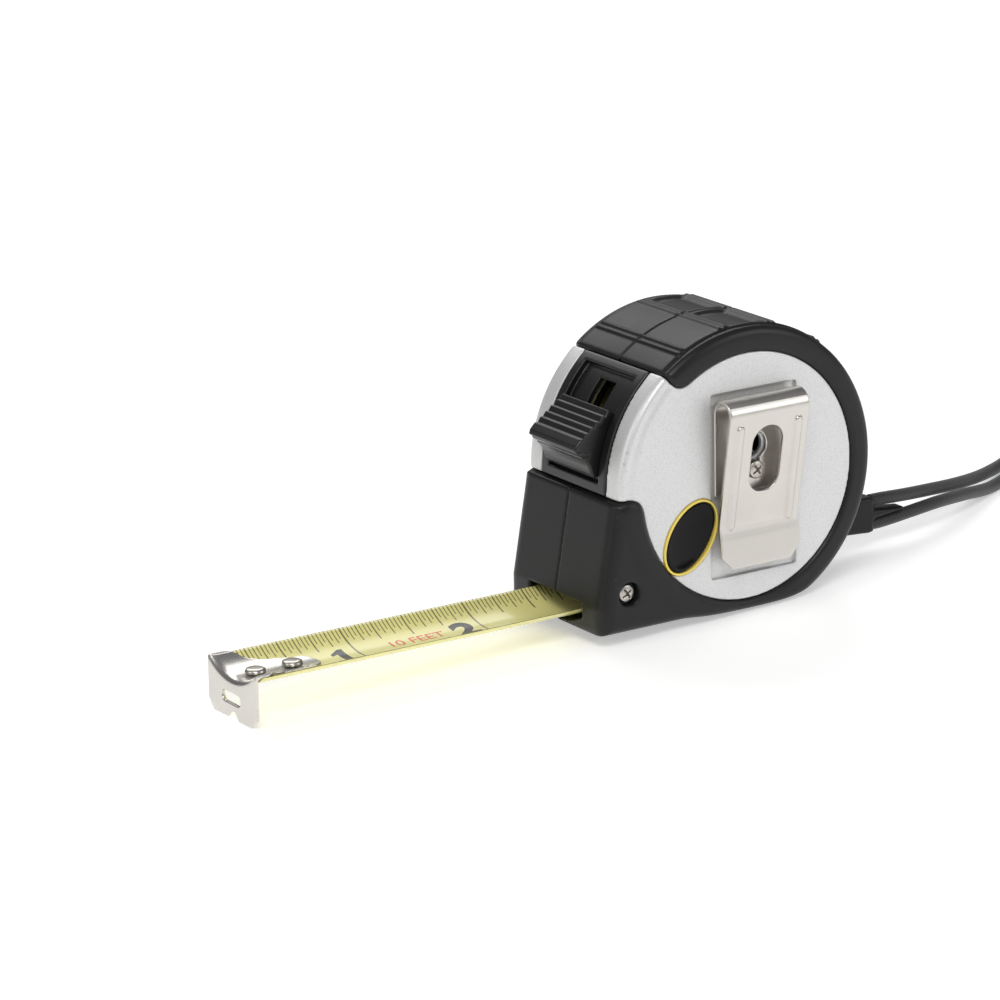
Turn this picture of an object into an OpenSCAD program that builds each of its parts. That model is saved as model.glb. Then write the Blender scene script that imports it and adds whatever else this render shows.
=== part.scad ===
// Pocket tape measure: steel blade on a sprung reel in a two-shell case with moulded bumpers,
// a sliding blade lock, a side brake button, a belt clip and a wrist strap.
// Frame: the reel case stands on z = 0, +Z is up, the blade runs out along -X,
// the belt clip is on the -Y side, and the origin is on the base under the middle of the round case.

/* [Case] */
// Radius of the round case over the bumper
case_r = 27.5; // [24:0.5:34]
// Height of the middle of the round case above the base
case_z = 24.9; // [21:0.1:31]
// Half the thickness of the case, to its flat side faces
case_half_t = 15; // [14:0.5:20]
// How far the nose reaches in front of the middle of the case, at the mouth
nose_x = 31.7; // [29:0.1:40]
// Height of the top of the nose
nose_top_z = 24.5; // [20:0.5:26]
// How far the front of the nose leans back over its height
nose_lean = 3.4; // [0:0.2:5]
// Radius of the bare side disc
disc_r = 22.5; // [20:0.5:24]

/* [Blade] */
// Width of the blade
blade_w = 15.9; // [12.7:0.1:19]
// Thickness of the blade with its paint
blade_t = 0.14; // [0.1:0.01:0.2]
// Depth of the blade's hollow section
blade_sag = 2.7; // [1.5:0.1:3]
// Height of the middle line of the blade at the mouth
blade_z = 1.65; // [1.5:0.05:3]
// Length of blade pictured outside the mouth
blade_out = 65.5; // [20:0.5:150]
// Whole length of the blade
blade_len = 3048; // [1000:1:3800]

/* [Hook] */
// Thickness of the hook plate, and how far the hook floats on the blade
hook_t = 0.8; // [0.6:0.1:1.2]
// How far the hook reaches below the middle line of the blade
hook_drop = 6.3; // [4:0.1:12]
// Width of the hook
hook_w = 16.2; // [13:0.1:20]
// Length of the hook's tongue on the blade
tongue_len = 16.6; // [15:0.2:22]
// Distance between the two rivets
rivet_pitch = 7.3; // [6:0.1:9]
// Radius of a rivet head
rivet_head_r = 1.85; // [1.4:0.05:2.2]

/* [Reel] */
// How far the reel's axis sits behind the middle of the case
axis_dx = 1.3; // [0:0.1:2]
// How far the reel's axis sits above the middle of the case
axis_dz = 1.2; // [0:0.1:1.5]
// Outer radius of the wound blade as pictured
coil_r = 20; // [18:0.1:20.2]
// Radius of the fixed centre post
post_r = 3; // [2.5:0.1:4]

/* [Lock] */
// Half the width of the lock slider
slider_half_w = 7.45; // [5:0.05:8]
// How far the lock slides back along its track, in degrees about the middle of the case
lock_travel = 14; // [8:1:14]

/* [Brake button] */
// Length of the oval brake button
button_len = 13.4; // [10:0.2:15]
// Width of the oval brake button
button_w = 8.6; // [6:0.2:10]
// How far the brake button presses in
button_travel = 1.6; // [1:0.1:1.7]

/* [Belt clip] */
// Width of the belt clip
clip_w = 17.2; // [12:0.2:20]
// Thickness of the clip's spring steel
clip_t = 0.8; // [0.6:0.1:1]
// Height of the top of the clip above the base
clip_top_z = 40.4; // [36:0.2:42]
// Outer radius of the clip's bend
clip_bend_r = 2.9; // [2.2:0.1:4]

/* [Strap] */
// Thickness of the strap's strand
strap_d = 2.4; // [2:0.1:3]

/* [Hidden] */
$fn = 96;
slip = 0.05;            // gap between pieces that are fixed against each other
gap = 0.2;              // gap between moulded pieces that show a line between them
run = 0.06;             // radial gap of a turning fit
half = case_half_t;

// Case walls, from the outside in
boot_in_r = case_r - 2.2;
shell_r = boot_in_r - slip;
cavity_r = shell_r - 1.75;
side_in = half - 2;
side_step = half - 1.2;
shoulder_r = 2;
cavity_floor = 2.4;
shell_floor = 0.8;
rim_in = 10.2;          // inner edge of the bare rims beside the lock
rim_from = 130;         // where the lock track starts, in degrees round the case
track_r = case_r + 0.15;
nose_wall = 1.9;
nose_side_in = half - 3;
nose_corner_r = 2.4;

// Mouth
mouth_w = blade_w + 0.8;
mouth_top = blade_z + blade_sag + 1.2;
mouth_lip = 0.9;
mouth_lip_sag = 2.1;
lip_r = (pow(mouth_w / 2, 2) + pow(mouth_lip_sag, 2)) / (2 * mouth_lip_sag);
channel_x = -24;
channel_floor = 0.95;

// Blade section: an arc open upwards
arc_r = (pow(blade_w / 2, 2) + pow(blade_sag, 2)) / (2 * blade_sag);
arc_z = blade_z + arc_r;
zero_x = -nose_x - blade_out;
blade_end_x = zero_x + hook_t + 0.1;
feed_x = -14;
rivet_r = 0.9;
first_rivet = 4;
hook_edge = 0.45;

// Reel
reel_x = axis_dx;
reel_z = case_z + axis_dz;
coil_half_w = blade_w / 2;
flange_in = coil_half_w + 0.25;
flange_t = 0.8;
flange_r = coil_r + 0.9;
drum_r = sqrt(coil_r * coil_r - (blade_len - blade_out) * blade_t * 1.02 / PI);
drum_in_r = drum_r - 1.2;
hub_r = 5;
coil_turns = 8;

// Lock
slider_gap = 0.3;
stem_half_w = 2.3;
stem_in_r = 24.4;
slider_top = 149.6;
slider_foot = 174.2;
recess_from = slider_top - lock_travel - 1.5;
recess_to = slider_foot + 2;
lever_x = -20.8;
lever_z = 12;
lever_pin_r = 1;
lever_half_w = 3;
lever_pad_r = 1.2;
lever_pad_x = -11.8;
lever_top_r = stem_in_r - 0.2;

// Button
button_x = -12.5;
button_z = 15.8;
button_tilt = 54;
button_proud = 0.6;
ring_w = 0.4;
stem_r = 1.6;
pad_r = 3;

// Clip
clip_x = reel_x;
pocket_depth = 1;
plate_y = half - pocket_depth + slip;
pocket_w = clip_w + 1;
pocket_bottom = 7;
plate_len = 15;
rib_dx = 6.3;
rib_r = 0.7;
rib_top = 35.3;
clip_kick_z = 16.9;
clip_end_z = 8.8;
window_w = 6.6;
window_from = 22.6;
window_to = 35;
key_r = 2.6;            // keyhole of the clip's plate, with a hole behind it in the shell
key_z = window_to - 4.6;
key_back_r = 2.3;
clip_gap = 0.55;        // lets the leaf turn about the middle of the bend

// Screws
screw_head_r = 1.7;
screw_r = 1;
nose_screw_x = -25.9;
nose_screw_z = 7.8;
nose_screw_recess_r = 2.1;
nose_screw_sunk = 1.7;
nose_boss_r = 2.1;

// Strap
tab_pin_x = 18.6;
tab_pin_z = 9.3;
tab_half_w = 2;
tab_end_x = 38.2;
tab_tip_x = 45.5;       // end of the web between the strap's two strands
strap_start_x = 37.2;

silver = [0.78, 0.79, 0.8];
black = [0.06, 0.06, 0.065];
steel = [0.72, 0.71, 0.69];
yellow = [0.9, 0.8, 0.2];
white = [0.85, 0.85, 0.82];

// ---------- helpers ----------

// Lays a shape drawn in x and z on the x-z plane, from y0 to y1.
module along_y(y0, y1) {
    translate([0, y1, 0])
        rotate([90, 0, 0])
            linear_extrude(y1 - y0)
                children();
}

// Turns a shape drawn as radius and y about a line along Y through x, z.
module about_y(x, z, from = 0, sweep = 360) {
    translate([x, 0, z])
        mirror([0, 1, 0])
            rotate([90, 0, 0])
                rotate([0, 0, from])
                    rotate_extrude(angle = sweep)
                        children();
}

// A disc or ring about the line along Y through x, z.
module disc_y(x, z, r, y0, y1, hole = 0) {
    along_y(y0, y1)
        translate([x, z])
            difference() {
                circle(r);
                if (hole > 0)
                    circle(hole);
            }
}

// A wedge of the plane from angle a to angle b about the middle of the case.
module wedge_2d(a, b, reach = 60) {
    mid = (a + b) / 2;
    translate([0, case_z])
        polygon([[0, 0], reach * [cos(a), sin(a)], reach * 1.3 * [cos(mid), sin(mid)],
            reach * [cos(b), sin(b)]]);
}

// A slot-shaped outline with round ends, length along x.
module stadium_2d(length, width) {
    square([length - width, width], center = true);
    for (side = [-1, 1])
        translate([side * (length - width) / 2, 0])
            circle(width / 2);
}

// The outline of a closed tube along route points, one ring of n points at each.
function unit(v) = v / norm(v);
function heading(p, i) =
    unit(p[min(i + 1, len(p) - 1)] - p[max(i - 1, 0)]);
function tube_points(p, r, n) = [
    for (i = [0:len(p) - 1])
        let (d = heading(p, i), u = unit(cross(d, [0, 0, 1])), v = cross(u, d))
            for (k = [0:n - 1])
                p[i] + r * (cos(360 * k / n) * u + sin(360 * k / n) * v)
];
function tube_faces(rings, n) = concat(
    [[for (k = [n - 1:-1:0]) k]],
    [for (i = [0:rings - 2]) for (k = [0:n - 1])
        [i * n + k, i * n + (k + 1) % n, (i + 1) * n + (k + 1) % n, (i + 1) * n + k]],
    [[for (k = [0:n - 1]) (rings - 1) * n + k]]
);
module tube(p, r, n) {
    polyhedron(tube_points(p, r, n), tube_faces(len(p), n), convexity = 8);
}

// ---------- blade ----------

// The blade's section and everything parallel to it, drawn in y and z.
module arc_band_2d(lift, thick, width) {
    intersection() {
        translate([0, arc_z])
            difference() {
                circle(arc_r - lift, $fn = 180);
                circle(arc_r - lift - thick, $fn = 180);
            }
        translate([-width / 2, blade_z - 2])
            square([width, arc_r]);
    }
}

module along_x(x0, x1) {
    translate([x0, 0, 0])
        rotate([90, 0, 90])
            linear_extrude(x1 - x0)
                children();
}

function rivet_x(i) = zero_x + first_rivet + i * rivet_pitch;

module tape_blade() {
    color(yellow)
        difference() {
            along_x(blade_end_x, feed_x)
                arc_band_2d(0, blade_t, blade_w);
            for (i = [0, 1])
                translate([rivet_x(i), 0, 0])
                    cylinder(r = rivet_r + slip, h = case_z);
        }
}

// The stretch between the mouth and the coil, where the blade flattens.
feed_start_z = blade_z + 1.3;
feed_end_z = reel_z - coil_r - 0.3;
feed_rise = (feed_end_z - feed_start_z) / (reel_x - feed_x - 0.3);

module tape_feed() {
    color(yellow)
        along_y(-coil_half_w, coil_half_w)
            polygon([[feed_x + 0.3, feed_start_z], [reel_x, feed_end_z], [reel_x, feed_end_z + blade_t],
                [feed_x + 0.3, feed_start_z + blade_t]]);
}

module tape_coil() {
    step = (coil_r - drum_r - run) / coil_turns;
    color(yellow)
        about_y(reel_x, reel_z)
            difference() {
                translate([drum_r + run, -coil_half_w])
                    square([coil_r - drum_r - run, 2 * coil_half_w]);
                for (i = [1:coil_turns - 1])
                    for (side = [-1, 1])
                        translate([drum_r + run + i * step, side * coil_half_w])
                            square([0.12, 0.5], center = true);
            }
}

// ---------- hook ----------

// Outline of the tongue seen from above, blade end at x = 0.
module tongue_2d() {
    shoulder = hook_w / 2;
    neck = 4.2;
    difference() {
        union() {
            translate([-hook_t, -shoulder])
                square([hook_t + 2.4, 2 * shoulder]);
            polygon([[2.3, -shoulder], [5.4, -neck - 1], [7.4, -neck], [tongue_len - 3, -3],
                [tongue_len - 3, 3], [7.4, neck], [5.4, neck + 1], [2.3, shoulder]]);
            translate([tongue_len - 3, 0])
                circle(3);
        }
        for (side = [-1, 1])
            translate([0.7, side * (shoulder - 1.9)])
                circle(0.8);
    }
}

module hook_plate_2d() {
    bottom = blade_z - hook_drop;
    side = hook_w / 2;
    difference() {
        polygon([[-side, bottom + 1.7], [-side + 1.7, bottom], [-1.4, bottom], [-0.5, bottom + 1.1],
            [0.5, bottom + 1.1], [1.4, bottom], [side - 1.7, bottom], [side, bottom + 1.7],
            [side, blade_z + blade_sag + hook_edge], [-side, blade_z + blade_sag + hook_edge]]);
        translate([0, arc_z])
            circle(arc_r - blade_t - slip - hook_t, $fn = 180);
        translate([0, bottom + 3.4])
            stadium_2d(6.4, 1.9);
    }
}

module end_hook() {
    color(steel) {
        along_x(zero_x - hook_t, zero_x)
            hook_plate_2d();
        difference() {
            intersection() {
                along_x(zero_x - hook_t, zero_x + tongue_len)
                    arc_band_2d(blade_t + slip, hook_t, hook_w);
                translate([zero_x, 0, 0])
                    linear_extrude(blade_z + blade_sag + hook_edge)
                        tongue_2d();
            }
            for (i = [0, 1])
                translate([rivet_x(i) - hook_t / 2, 0, 0])
                    linear_extrude(case_z)
                        stadium_2d(2 * rivet_r + hook_t + 0.3, 2 * rivet_r + 0.2);
        }
    }
}

module hook_rivets() {
    head_z = blade_z + blade_t + hook_t + 0.28;
    color(steel)
        for (i = [0, 1])
            translate([rivet_x(i), 0, 0]) {
                translate([0, 0, blade_z - slip - 0.3])
                    cylinder(r = rivet_r, h = head_z - blade_z + 0.6);
                translate([0, 0, head_z])
                    cylinder(r = rivet_head_r, h = 0.45);
                translate([0, 0, head_z + 0.45])
                    cylinder(r1 = rivet_head_r, r2 = rivet_head_r - 0.6, h = 0.35);
                translate([0, 0, blade_z - slip - 0.5])
                    cylinder(r = 1.3, h = 0.5);
            }
}

// ---------- case ----------

module case_outline_2d() {
    intersection() {
        union() {
            translate([0, case_z])
                circle(case_r, $fn = 180);
            polygon([[nose_lean - nose_x, nose_top_z], [-nose_x, mouth_top], [-nose_x, 1.2],
                [1.2 - nose_x, 0], [0, 0], [0, nose_top_z]]);
        }
        translate([-2 * case_r, 0])
            square([4 * case_r, 4 * case_r]);
    }
}

// Cuts the long edge of a quarter round, radius r, from a corner at 0, 0 along z.
module corner_2d(r) {
    difference() {
        translate([-1, -1])
            square(r + 1);
        translate([r, r])
            circle(r);
    }
}

// The mouth's lip follows the blade, and behind it the channel has a flat floor.
module mouth_cut() {
    along_x(-nose_x - 5, channel_x + 1)
        intersection() {
            translate([0, mouth_lip + lip_r])
                circle(lip_r, $fn = 180);
            translate([-mouth_w / 2, 0])
                square([mouth_w, mouth_top]);
        }
    translate([channel_x, -mouth_w / 2, channel_floor])
        cube([-channel_x - 6, mouth_w, mouth_top - channel_floor]);
}

// Room inside the nose for the lock lever.
module nose_cavity_2d() {
    polygon([[nose_lean - nose_x + nose_wall, nose_top_z + 1], [nose_wall - nose_x, mouth_top + 1],
        [nose_wall - nose_x + 1, mouth_top], [-6, mouth_top], [-6, nose_top_z + 1]]);
}

module strap_slot() {
    along_y(-tab_half_w - gap, tab_half_w + gap)
        polygon([[tab_pin_x - 3, tab_pin_z - 3], [tab_pin_x + 12, tab_pin_z - 6.2],
            [tab_pin_x + 14, tab_pin_z + 3.6], [tab_pin_x - 3, tab_pin_z + 3]]);
}

// One bumper, on the +Y side.
module bumper_half() {
    difference() {
        union() {
            difference() {
                about_y(0, case_z)
                    difference() {
                        translate([0, slip])
                            square([case_r, half - slip]);
                        translate([case_r - shoulder_r, half - shoulder_r])
                            difference() {
                                square(shoulder_r + 1);
                                circle(shoulder_r);
                            }
                    }
                translate([-2 * case_r, -1, -2 * case_r])
                    cube([4 * case_r, 3 * half, 2 * case_r]);
            }
            difference() {
                along_y(slip, half)
                    difference() {
                        case_outline_2d();
                        translate([-case_r - 3, nose_top_z])
                            square([2 * case_r, 2 * case_r]);
                        translate([-8, -1])
                            square([2 * case_r, 2 * case_r]);
                    }
                translate([-nose_x, half, mouth_top])
                    rotate([0, atan(nose_lean / (nose_top_z - mouth_top)), 0])
                        linear_extrude(3 * case_r, center = true)
                            mirror([0, 1, 0])
                                corner_2d(nose_corner_r);
                translate([-nose_x, half, 0])
                    linear_extrude(mouth_top + 1)
                        mirror([0, 1, 0])
                            corner_2d(nose_corner_r);
            }
            grip_ribs();
            about_y(0, case_z, -62, 188)
                translate([case_r - 0.6, half - 0.8])
                    circle(0.55, $fn = 32);
        }
        // under edge
        translate([0, half, 0])
            rotate([90, 0, 90])
                linear_extrude(4 * case_r, center = true)
                    mirror([1, 0, 0])
                        corner_2d(1.6);
        // room for the shell
        intersection() {
            disc_y(0, case_z, boot_in_r, -1, side_step + slip);
            translate([-2 * case_r, -2, shell_floor - slip])
                cube([4 * case_r, 2 * half, 4 * case_r]);
        }
        disc_y(0, case_z, disc_r + 0.25, -1, 2 * half);
        // the lock track and the bare rims beside it
        along_y(-1, 2 * half)
            intersection() {
                wedge_2d(rim_from - 0.4, 181);
                translate([-2 * case_r, nose_top_z])
                    square([2 * case_r, 2 * case_r]);
            }
        along_y(-1, nose_side_in)
            difference() {
                nose_cavity_2d();
                translate([nose_screw_x, nose_screw_z])
                    circle(nose_boss_r);
            }
        mouth_cut();
        strap_slot();
        disc_y(lever_x, lever_z, lever_pin_r + slip, -1, side_in + 0.55);
    }
}

// Double ribs across the grip.
module grip_ribs() {
    for (a = [-12, 10, 31, 53, 76, 98, 118])
        for (side = [-1.3, 1.3])
            about_y(0, case_z, a + side - 0.6, 1.2)
                translate([case_r - 0.3, slip])
                    square([0.85, half - 2.2]);
}

module bumper_clip_side() {
    color(black)
        difference() {
            mirror([0, 1, 0])
                bumper_half();
            disc_y(nose_screw_x, nose_screw_z, nose_screw_recess_r, -2 * half, -half + nose_screw_sunk);
            disc_y(nose_screw_x, nose_screw_z, screw_r + 0.1, -half, 0);
        }
}

module bumper_far_side() {
    color(black)
        difference() {
            bumper_half();
            disc_y(nose_screw_x, nose_screw_z, screw_r + slip, -1, nose_side_in - 1);
        }
}

// One silver shell, on the +Y side.
module shell_half() {
    difference() {
        union() {
            intersection() {
                union() {
                    about_y(0, case_z)
                        difference() {
                            square([shell_r, side_step]);
                            translate([-1, -1])
                                square([cavity_r + 1, side_in + 1]);
                            translate([0, -1])
                                square([shell_r + 1, 1 + slip]);
                        }
                    about_y(0, case_z)
                        polygon([[0, side_step - 0.1], [disc_r, side_step - 0.1], [disc_r, half - 0.3],
                            [disc_r - 0.3, half], [0, half]]);
                }
                translate([-2 * case_r, -1, shell_floor])
                    cube([4 * case_r, 3 * half, 4 * case_r]);
            }
            intersection() {
                about_y(0, case_z)
                    difference() {
                        translate([shell_r - 0.5, rim_in])
                            square([case_r - shell_r + 0.5, half - rim_in]);
                        translate([case_r - shoulder_r, half - shoulder_r])
                            difference() {
                                square(shoulder_r + 1);
                                circle(shoulder_r);
                            }
                    }
                along_y(0, 2 * half)
                    intersection() {
                        wedge_2d(rim_from, 180.8);
                        translate([-2 * case_r, nose_top_z + gap])
                            square([2 * case_r, 2 * case_r]);
                    }
            }
            intersection() {
                about_y(0, case_z)
                    translate([disc_r - 0.5, side_in])
                        square([case_r - disc_r - 1.4, half - side_in]);
                along_y(0, 2 * half)
                    intersection() {
                        wedge_2d(rim_from, 180.8);
                        translate([-2 * case_r, nose_top_z + gap])
                            square([2 * case_r, 2 * case_r]);
                    }
            }
            intersection() {
                disc_y(tab_pin_x, tab_pin_z, 2.2, tab_half_w + gap, 8);
                disc_y(0, case_z, shell_r, 0, half);
            }
            intersection() {
                disc_y(0, case_z, cavity_r + 0.5, slip, side_step);
                translate([-2 * case_r, 0, shell_floor])
                    cube([4 * case_r, 2 * half, cavity_floor - shell_floor]);
            }
        }
        // way through for the blade and the lock lever
        along_y(-1, nose_side_in)
            polygon([[-60, mouth_top - 5], [-8, mouth_top - 5], [-8, mouth_top], [-14, 14],
                [-18.5, nose_top_z], [-60, nose_top_z]]);
        along_y(-1, lever_half_w + 1.3)
            intersection() {
                wedge_2d(141, 181);
                translate([-60, nose_top_z - 1])
                    square([60, 60]);
            }
        strap_slot();
        disc_y(tab_pin_x, tab_pin_z, 0.8 + slip, -1, 7.2);
        disc_y(lever_x, lever_z, lever_pin_r + slip, -1, side_in + 0.55);
    }
}

// Outline of the brake button, drawn in x and z.
module button_2d(grow = 0) {
    translate([button_x, button_z])
        rotate(button_tilt)
            stadium_2d(button_len + 2 * grow, button_w + 2 * grow);
}

module shell_clip_side() {
    color(silver)
        difference() {
            mirror([0, 1, 0])
                shell_half();
            disc_y(reel_x, reel_z, screw_r + 0.1, -2 * half, 0);
            disc_y(clip_x, key_z, key_back_r, -2 * half, 0);
            disc_y(nose_screw_x, nose_screw_z, nose_screw_recess_r, -2 * half, 0);
            along_y(-2 * half, -side_in + 3)
                button_2d(gap + ring_w + slip);
            translate([clip_x - pocket_w / 2, -2 * half, pocket_bottom])
                cube([pocket_w, half + pocket_depth, clip_top_z + 0.4 - pocket_bottom]);
        }
}

module shell_far_side() {
    color(silver)
        difference() {
            shell_half();
            disc_y(reel_x, reel_z, post_r + slip, side_in - 1, side_in + 1);
        }
}

// ---------- reel ----------

module reel_drum() {
    color(black)
        about_y(reel_x, reel_z) {
            translate([drum_in_r, -flange_in])
                square([drum_r - drum_in_r, 2 * flange_in]);
            translate([post_r + run, flange_in - slip])
                square([flange_r - post_r - run, flange_t]);
            translate([post_r + run, flange_in - 2])
                square([hub_r - post_r - run, 2]);
        }
}

module reel_cover() {
    color(black)
        about_y(reel_x, reel_z)
            translate([post_r + run, -flange_in - slip - flange_t])
                square([flange_r - post_r - run, flange_t]);
}

// The mainspring: a strip wound between the post and the drum.
module mainspring() {
    turns = 7;
    steps = 24 * turns;
    inner = post_r + 0.25;
    outer = drum_in_r - 0.35;
    strip = 0.22;
    color(steel)
        along_y(-flange_in + 0.4, flange_in - 2.3)
            translate([reel_x, reel_z])
                polygon(concat(
                    [for (i = [0:steps]) let (a = 360 * turns * i / steps, r = inner + (outer - inner) * i / steps)
                        r * [cos(a), sin(a)]],
                    [for (i = [steps:-1:0]) let (a = 360 * turns * i / steps, r = inner + (outer - inner) * i / steps)
                        (r + strip) * [cos(a), sin(a)]]
                ));
}

module centre_post() {
    color(steel)
        difference() {
            disc_y(reel_x, reel_z, post_r, -side_in + slip, side_in + 1 - slip);
            disc_y(reel_x, reel_z, screw_r + slip, -side_in - 1, -side_in + 7);
            translate([reel_x - 0.3, -flange_in, reel_z - 2 * post_r])
                cube([0.6, 2 * flange_in - 2.5, 2 * post_r]);
        }
}

// ---------- lock ----------

module lock_track() {
    color(black)
        difference() {
            about_y(0, case_z)
                translate([boot_in_r, -rim_in + gap])
                    square([track_r - boot_in_r, 2 * (rim_in - gap)]);
            along_y(-2 * half, 2 * half)
                difference() {
                    translate([-3 * case_r, -case_r])
                        square([6 * case_r, 6 * case_r]);
                    intersection() {
                        wedge_2d(rim_from, 180.8);
                        translate([-2 * case_r, nose_top_z + gap])
                            square([2 * case_r, 2 * case_r]);
                    }
                }
            intersection() {
                about_y(0, case_z)
                    translate([track_r - 1.2, -slider_half_w - slider_gap])
                        square([3, 2 * (slider_half_w + slider_gap)]);
                along_y(-half, half)
                    wedge_2d(recess_from, recess_to);
            }
            along_y(-stem_half_w - gap, stem_half_w + gap)
                wedge_2d(recess_from + 4, recess_to - 4);
        }
}

// Side view of the slider in degrees round the case and radius, from its top edge down.
slider_steps = [[slider_top, 28.8], [152, 28.9], [152.2, 29.4], [154.6, 29.5], [154.8, 30],
    [157, 30.2], [157.2, 30.8], [159.2, 31], [159.4, 31.6], [161.4, 31.8], [161.6, 32.4],
    [164, 33], [165.4, 33], [166.6, 32.2], [168.4, 30.6], [170.4, 29.5], [172.4, 28.7], [slider_foot, 28.2]];
function polar(a, r) = [r * cos(a), case_z + r * sin(a)];

module lock_slider() {
    inner = track_r - 1.2 + run;
    color(black) {
        along_y(-slider_half_w, slider_half_w)
            difference() {
                polygon(concat(
                    [for (s = slider_steps) polar(s[0], s[1])],
                    [polar(slider_foot, inner - 0.5), polar((slider_top + slider_foot) / 2, inner - 2),
                        polar(slider_top, inner - 0.5)]
                ));
                translate([0, case_z])
                    circle(inner, $fn = 180);
            }
        along_y(-stem_half_w, stem_half_w)
            polygon([polar(161.6, inner + 0.4), polar(166.6, inner + 0.4), polar(166.6, stem_in_r),
                polar(161.6, stem_in_r)]);
    }
}

// A cranked lever: the slider's stem bears on its top end, and its pad presses the blade.
module lock_lever() {
    pad_z = feed_start_z + feed_rise * (lever_pad_x - feed_x) + blade_t + lever_pad_r + 0.2;
    top = polar(163.5, lever_top_r);
    color(white)
        difference() {
            union() {
                along_y(-lever_half_w, lever_half_w)
                    polygon([top, top + [1.3, 0.4], [-20.4, 15], [-18.8, 12.6],
                        [lever_pad_x + 0.3, pad_z + lever_pad_r - 0.1], [lever_pad_x - 0.9, pad_z - 0.5],
                        [-21.4, 10], [-22.6, 13]]);
                disc_y(lever_pad_x, pad_z, lever_pad_r, -lever_half_w, lever_half_w);
                disc_y(lever_x, lever_z, 2.2, -lever_half_w, lever_half_w);
            }
            disc_y(lever_x, lever_z, lever_pin_r + run, -half, half);
        }
}

module lever_pin() {
    color(steel)
        disc_y(lever_x, lever_z, lever_pin_r, -side_in - 0.5, side_in + 0.5);
}

module lever_spring() {
    color(steel)
        for (side = [-1, 1])
            translate([0, side * (lever_half_w + 1.4), 0]) {
                disc_y(lever_x, lever_z, lever_pin_r + 0.7, -0.8, 0.8, lever_pin_r + 0.15);
                along_y(-0.25, 0.25)
                    polygon([[lever_x + 1.2, lever_z - 0.4], [lever_x + 1.6, lever_z - 0.2],
                        [lever_x + 2.4, lever_z - 7], [lever_x + 1.9, lever_z - 7]]);
            }
}

// ---------- brake button ----------

module brake_button() {
    dish_r = 26;
    color(black) {
        difference() {
            union() {
                along_y(-half - button_proud, -side_in + 0.2)
                    button_2d();
                along_y(-side_in + slip, -side_in + slip + 0.5)
                    button_2d(1);
            }
            translate([button_x, -half - button_proud - dish_r + 0.9, button_z])
                sphere(dish_r, $fn = 180);
        }
        disc_y(button_x, button_z, stem_r, -side_in, -flange_in - flange_t - slip - button_travel - 1.2);
    }
}

module button_ring() {
    color(yellow)
        along_y(-half - 0.25, -side_in)
            difference() {
                button_2d(gap + ring_w);
                button_2d(gap);
            }
}

// A flat leaf behind the button, with a foot at each end on the shell's wall.
module button_spring() {
    reach = button_w / 2 + 2.6;
    across = button_tilt + 90;
    front = -side_in + 0.65;
    color(steel) {
        difference() {
            union() {
                along_y(front, front + 0.2)
                    translate([button_x, button_z])
                        rotate(across)
                            stadium_2d(2 * reach + 2, 2);
                disc_y(button_x, button_z, stem_r + 1.6, front, front + 0.2);
            }
            disc_y(button_x, button_z, stem_r + gap, -half, 0);
        }
        for (side = [-1, 1])
            disc_y(button_x + side * reach * cos(across), button_z + side * reach * sin(across),
                0.9, -side_in + slip, front + 0.1);
    }
}

module brake_pad() {
    back = -flange_in - flange_t - slip - button_travel - 0.12;
    color(white)
        difference() {
            disc_y(button_x, button_z, pad_r, back - 1.2, back);
            disc_y(button_x, button_z, stem_r + slip, back - 2, back - 0.6);
        }
}

// ---------- belt clip ----------

module clip_plate() {
    bend = clip_bend_r;
    color(steel)
        difference() {
            translate([clip_x - clip_w / 2, -plate_y - clip_t, clip_top_z - bend - plate_len])
                cube([clip_w, clip_t, plate_len]);
            // keyhole
            disc_y(clip_x, key_z, key_r, -2 * half, 0);
            disc_y(reel_x, reel_z, screw_r + 0.15, -2 * half, 0);
            translate([clip_x - screw_r - 0.15, -2 * half, reel_z])
                cube([2 * screw_r + 0.3, 2 * half, 4]);
        }
}

// Middle and front of the bend, and the leaf's front face where it nears the case.
bend_y = -plate_y - clip_bend_r;
bend_z = clip_top_z - clip_bend_r;
leaf_y = bend_y - clip_bend_r;
kick_y = -half - 0.45 - clip_t;

// The rolled bend, drawn in y and z.
module bend_2d() {
    difference() {
        translate([bend_y, bend_z])
            difference() {
                circle(clip_bend_r);
                circle(clip_bend_r - clip_t);
            }
        translate([leaf_y - 1, bend_z - 2 * clip_bend_r])
            square([3 * clip_bend_r, 2 * clip_bend_r]);
        translate([bend_y, bend_z - 1])
            square([clip_bend_r + 1, 1 + clip_gap]);
    }
}

// The long leaf and its flared end, drawn in y and z.
module leaf_2d() {
    polygon([[leaf_y, bend_z + 0.2], [leaf_y + clip_t, bend_z + 0.2], [kick_y + clip_t, clip_kick_z + 0.2],
        [kick_y + clip_t - 1, clip_end_z], [kick_y - 1, clip_end_z], [kick_y, clip_kick_z]]);
}

// A long bead that stands out of the leaf's front face.
module leaf_rib(dx) {
    tilt = atan((kick_y - leaf_y) / (bend_z - clip_kick_z));
    translate([clip_x + dx, kick_y + 0.35, clip_kick_z])
        rotate([tilt, 0, 0])
            cylinder(r = rib_r, h = rib_top - clip_kick_z);
}

module clip_leaf() {
    color(steel) {
        difference() {
            union() {
                translate([clip_x, 0, 0]) {
                    along_x(-clip_w / 2, clip_w / 2)
                        bend_2d();
                    along_x(-clip_w / 2, clip_w / 2)
                        leaf_2d();
                }
                for (side = [-1, 1])
                    leaf_rib(side * rib_dx);
            }
            along_y(-3 * half, 0)
                translate([clip_x, (window_from + window_to) / 2])
                    rotate(90)
                        stadium_2d(window_to - window_from, window_w);
            for (side = [-1, 1])
                translate([clip_x + side * clip_w / 2, -3 * half, clip_end_z])
                    rotate([0, 45, 0])
                        cube([3.6, 6 * half, 3.6], center = true);
        }
    }
}

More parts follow.
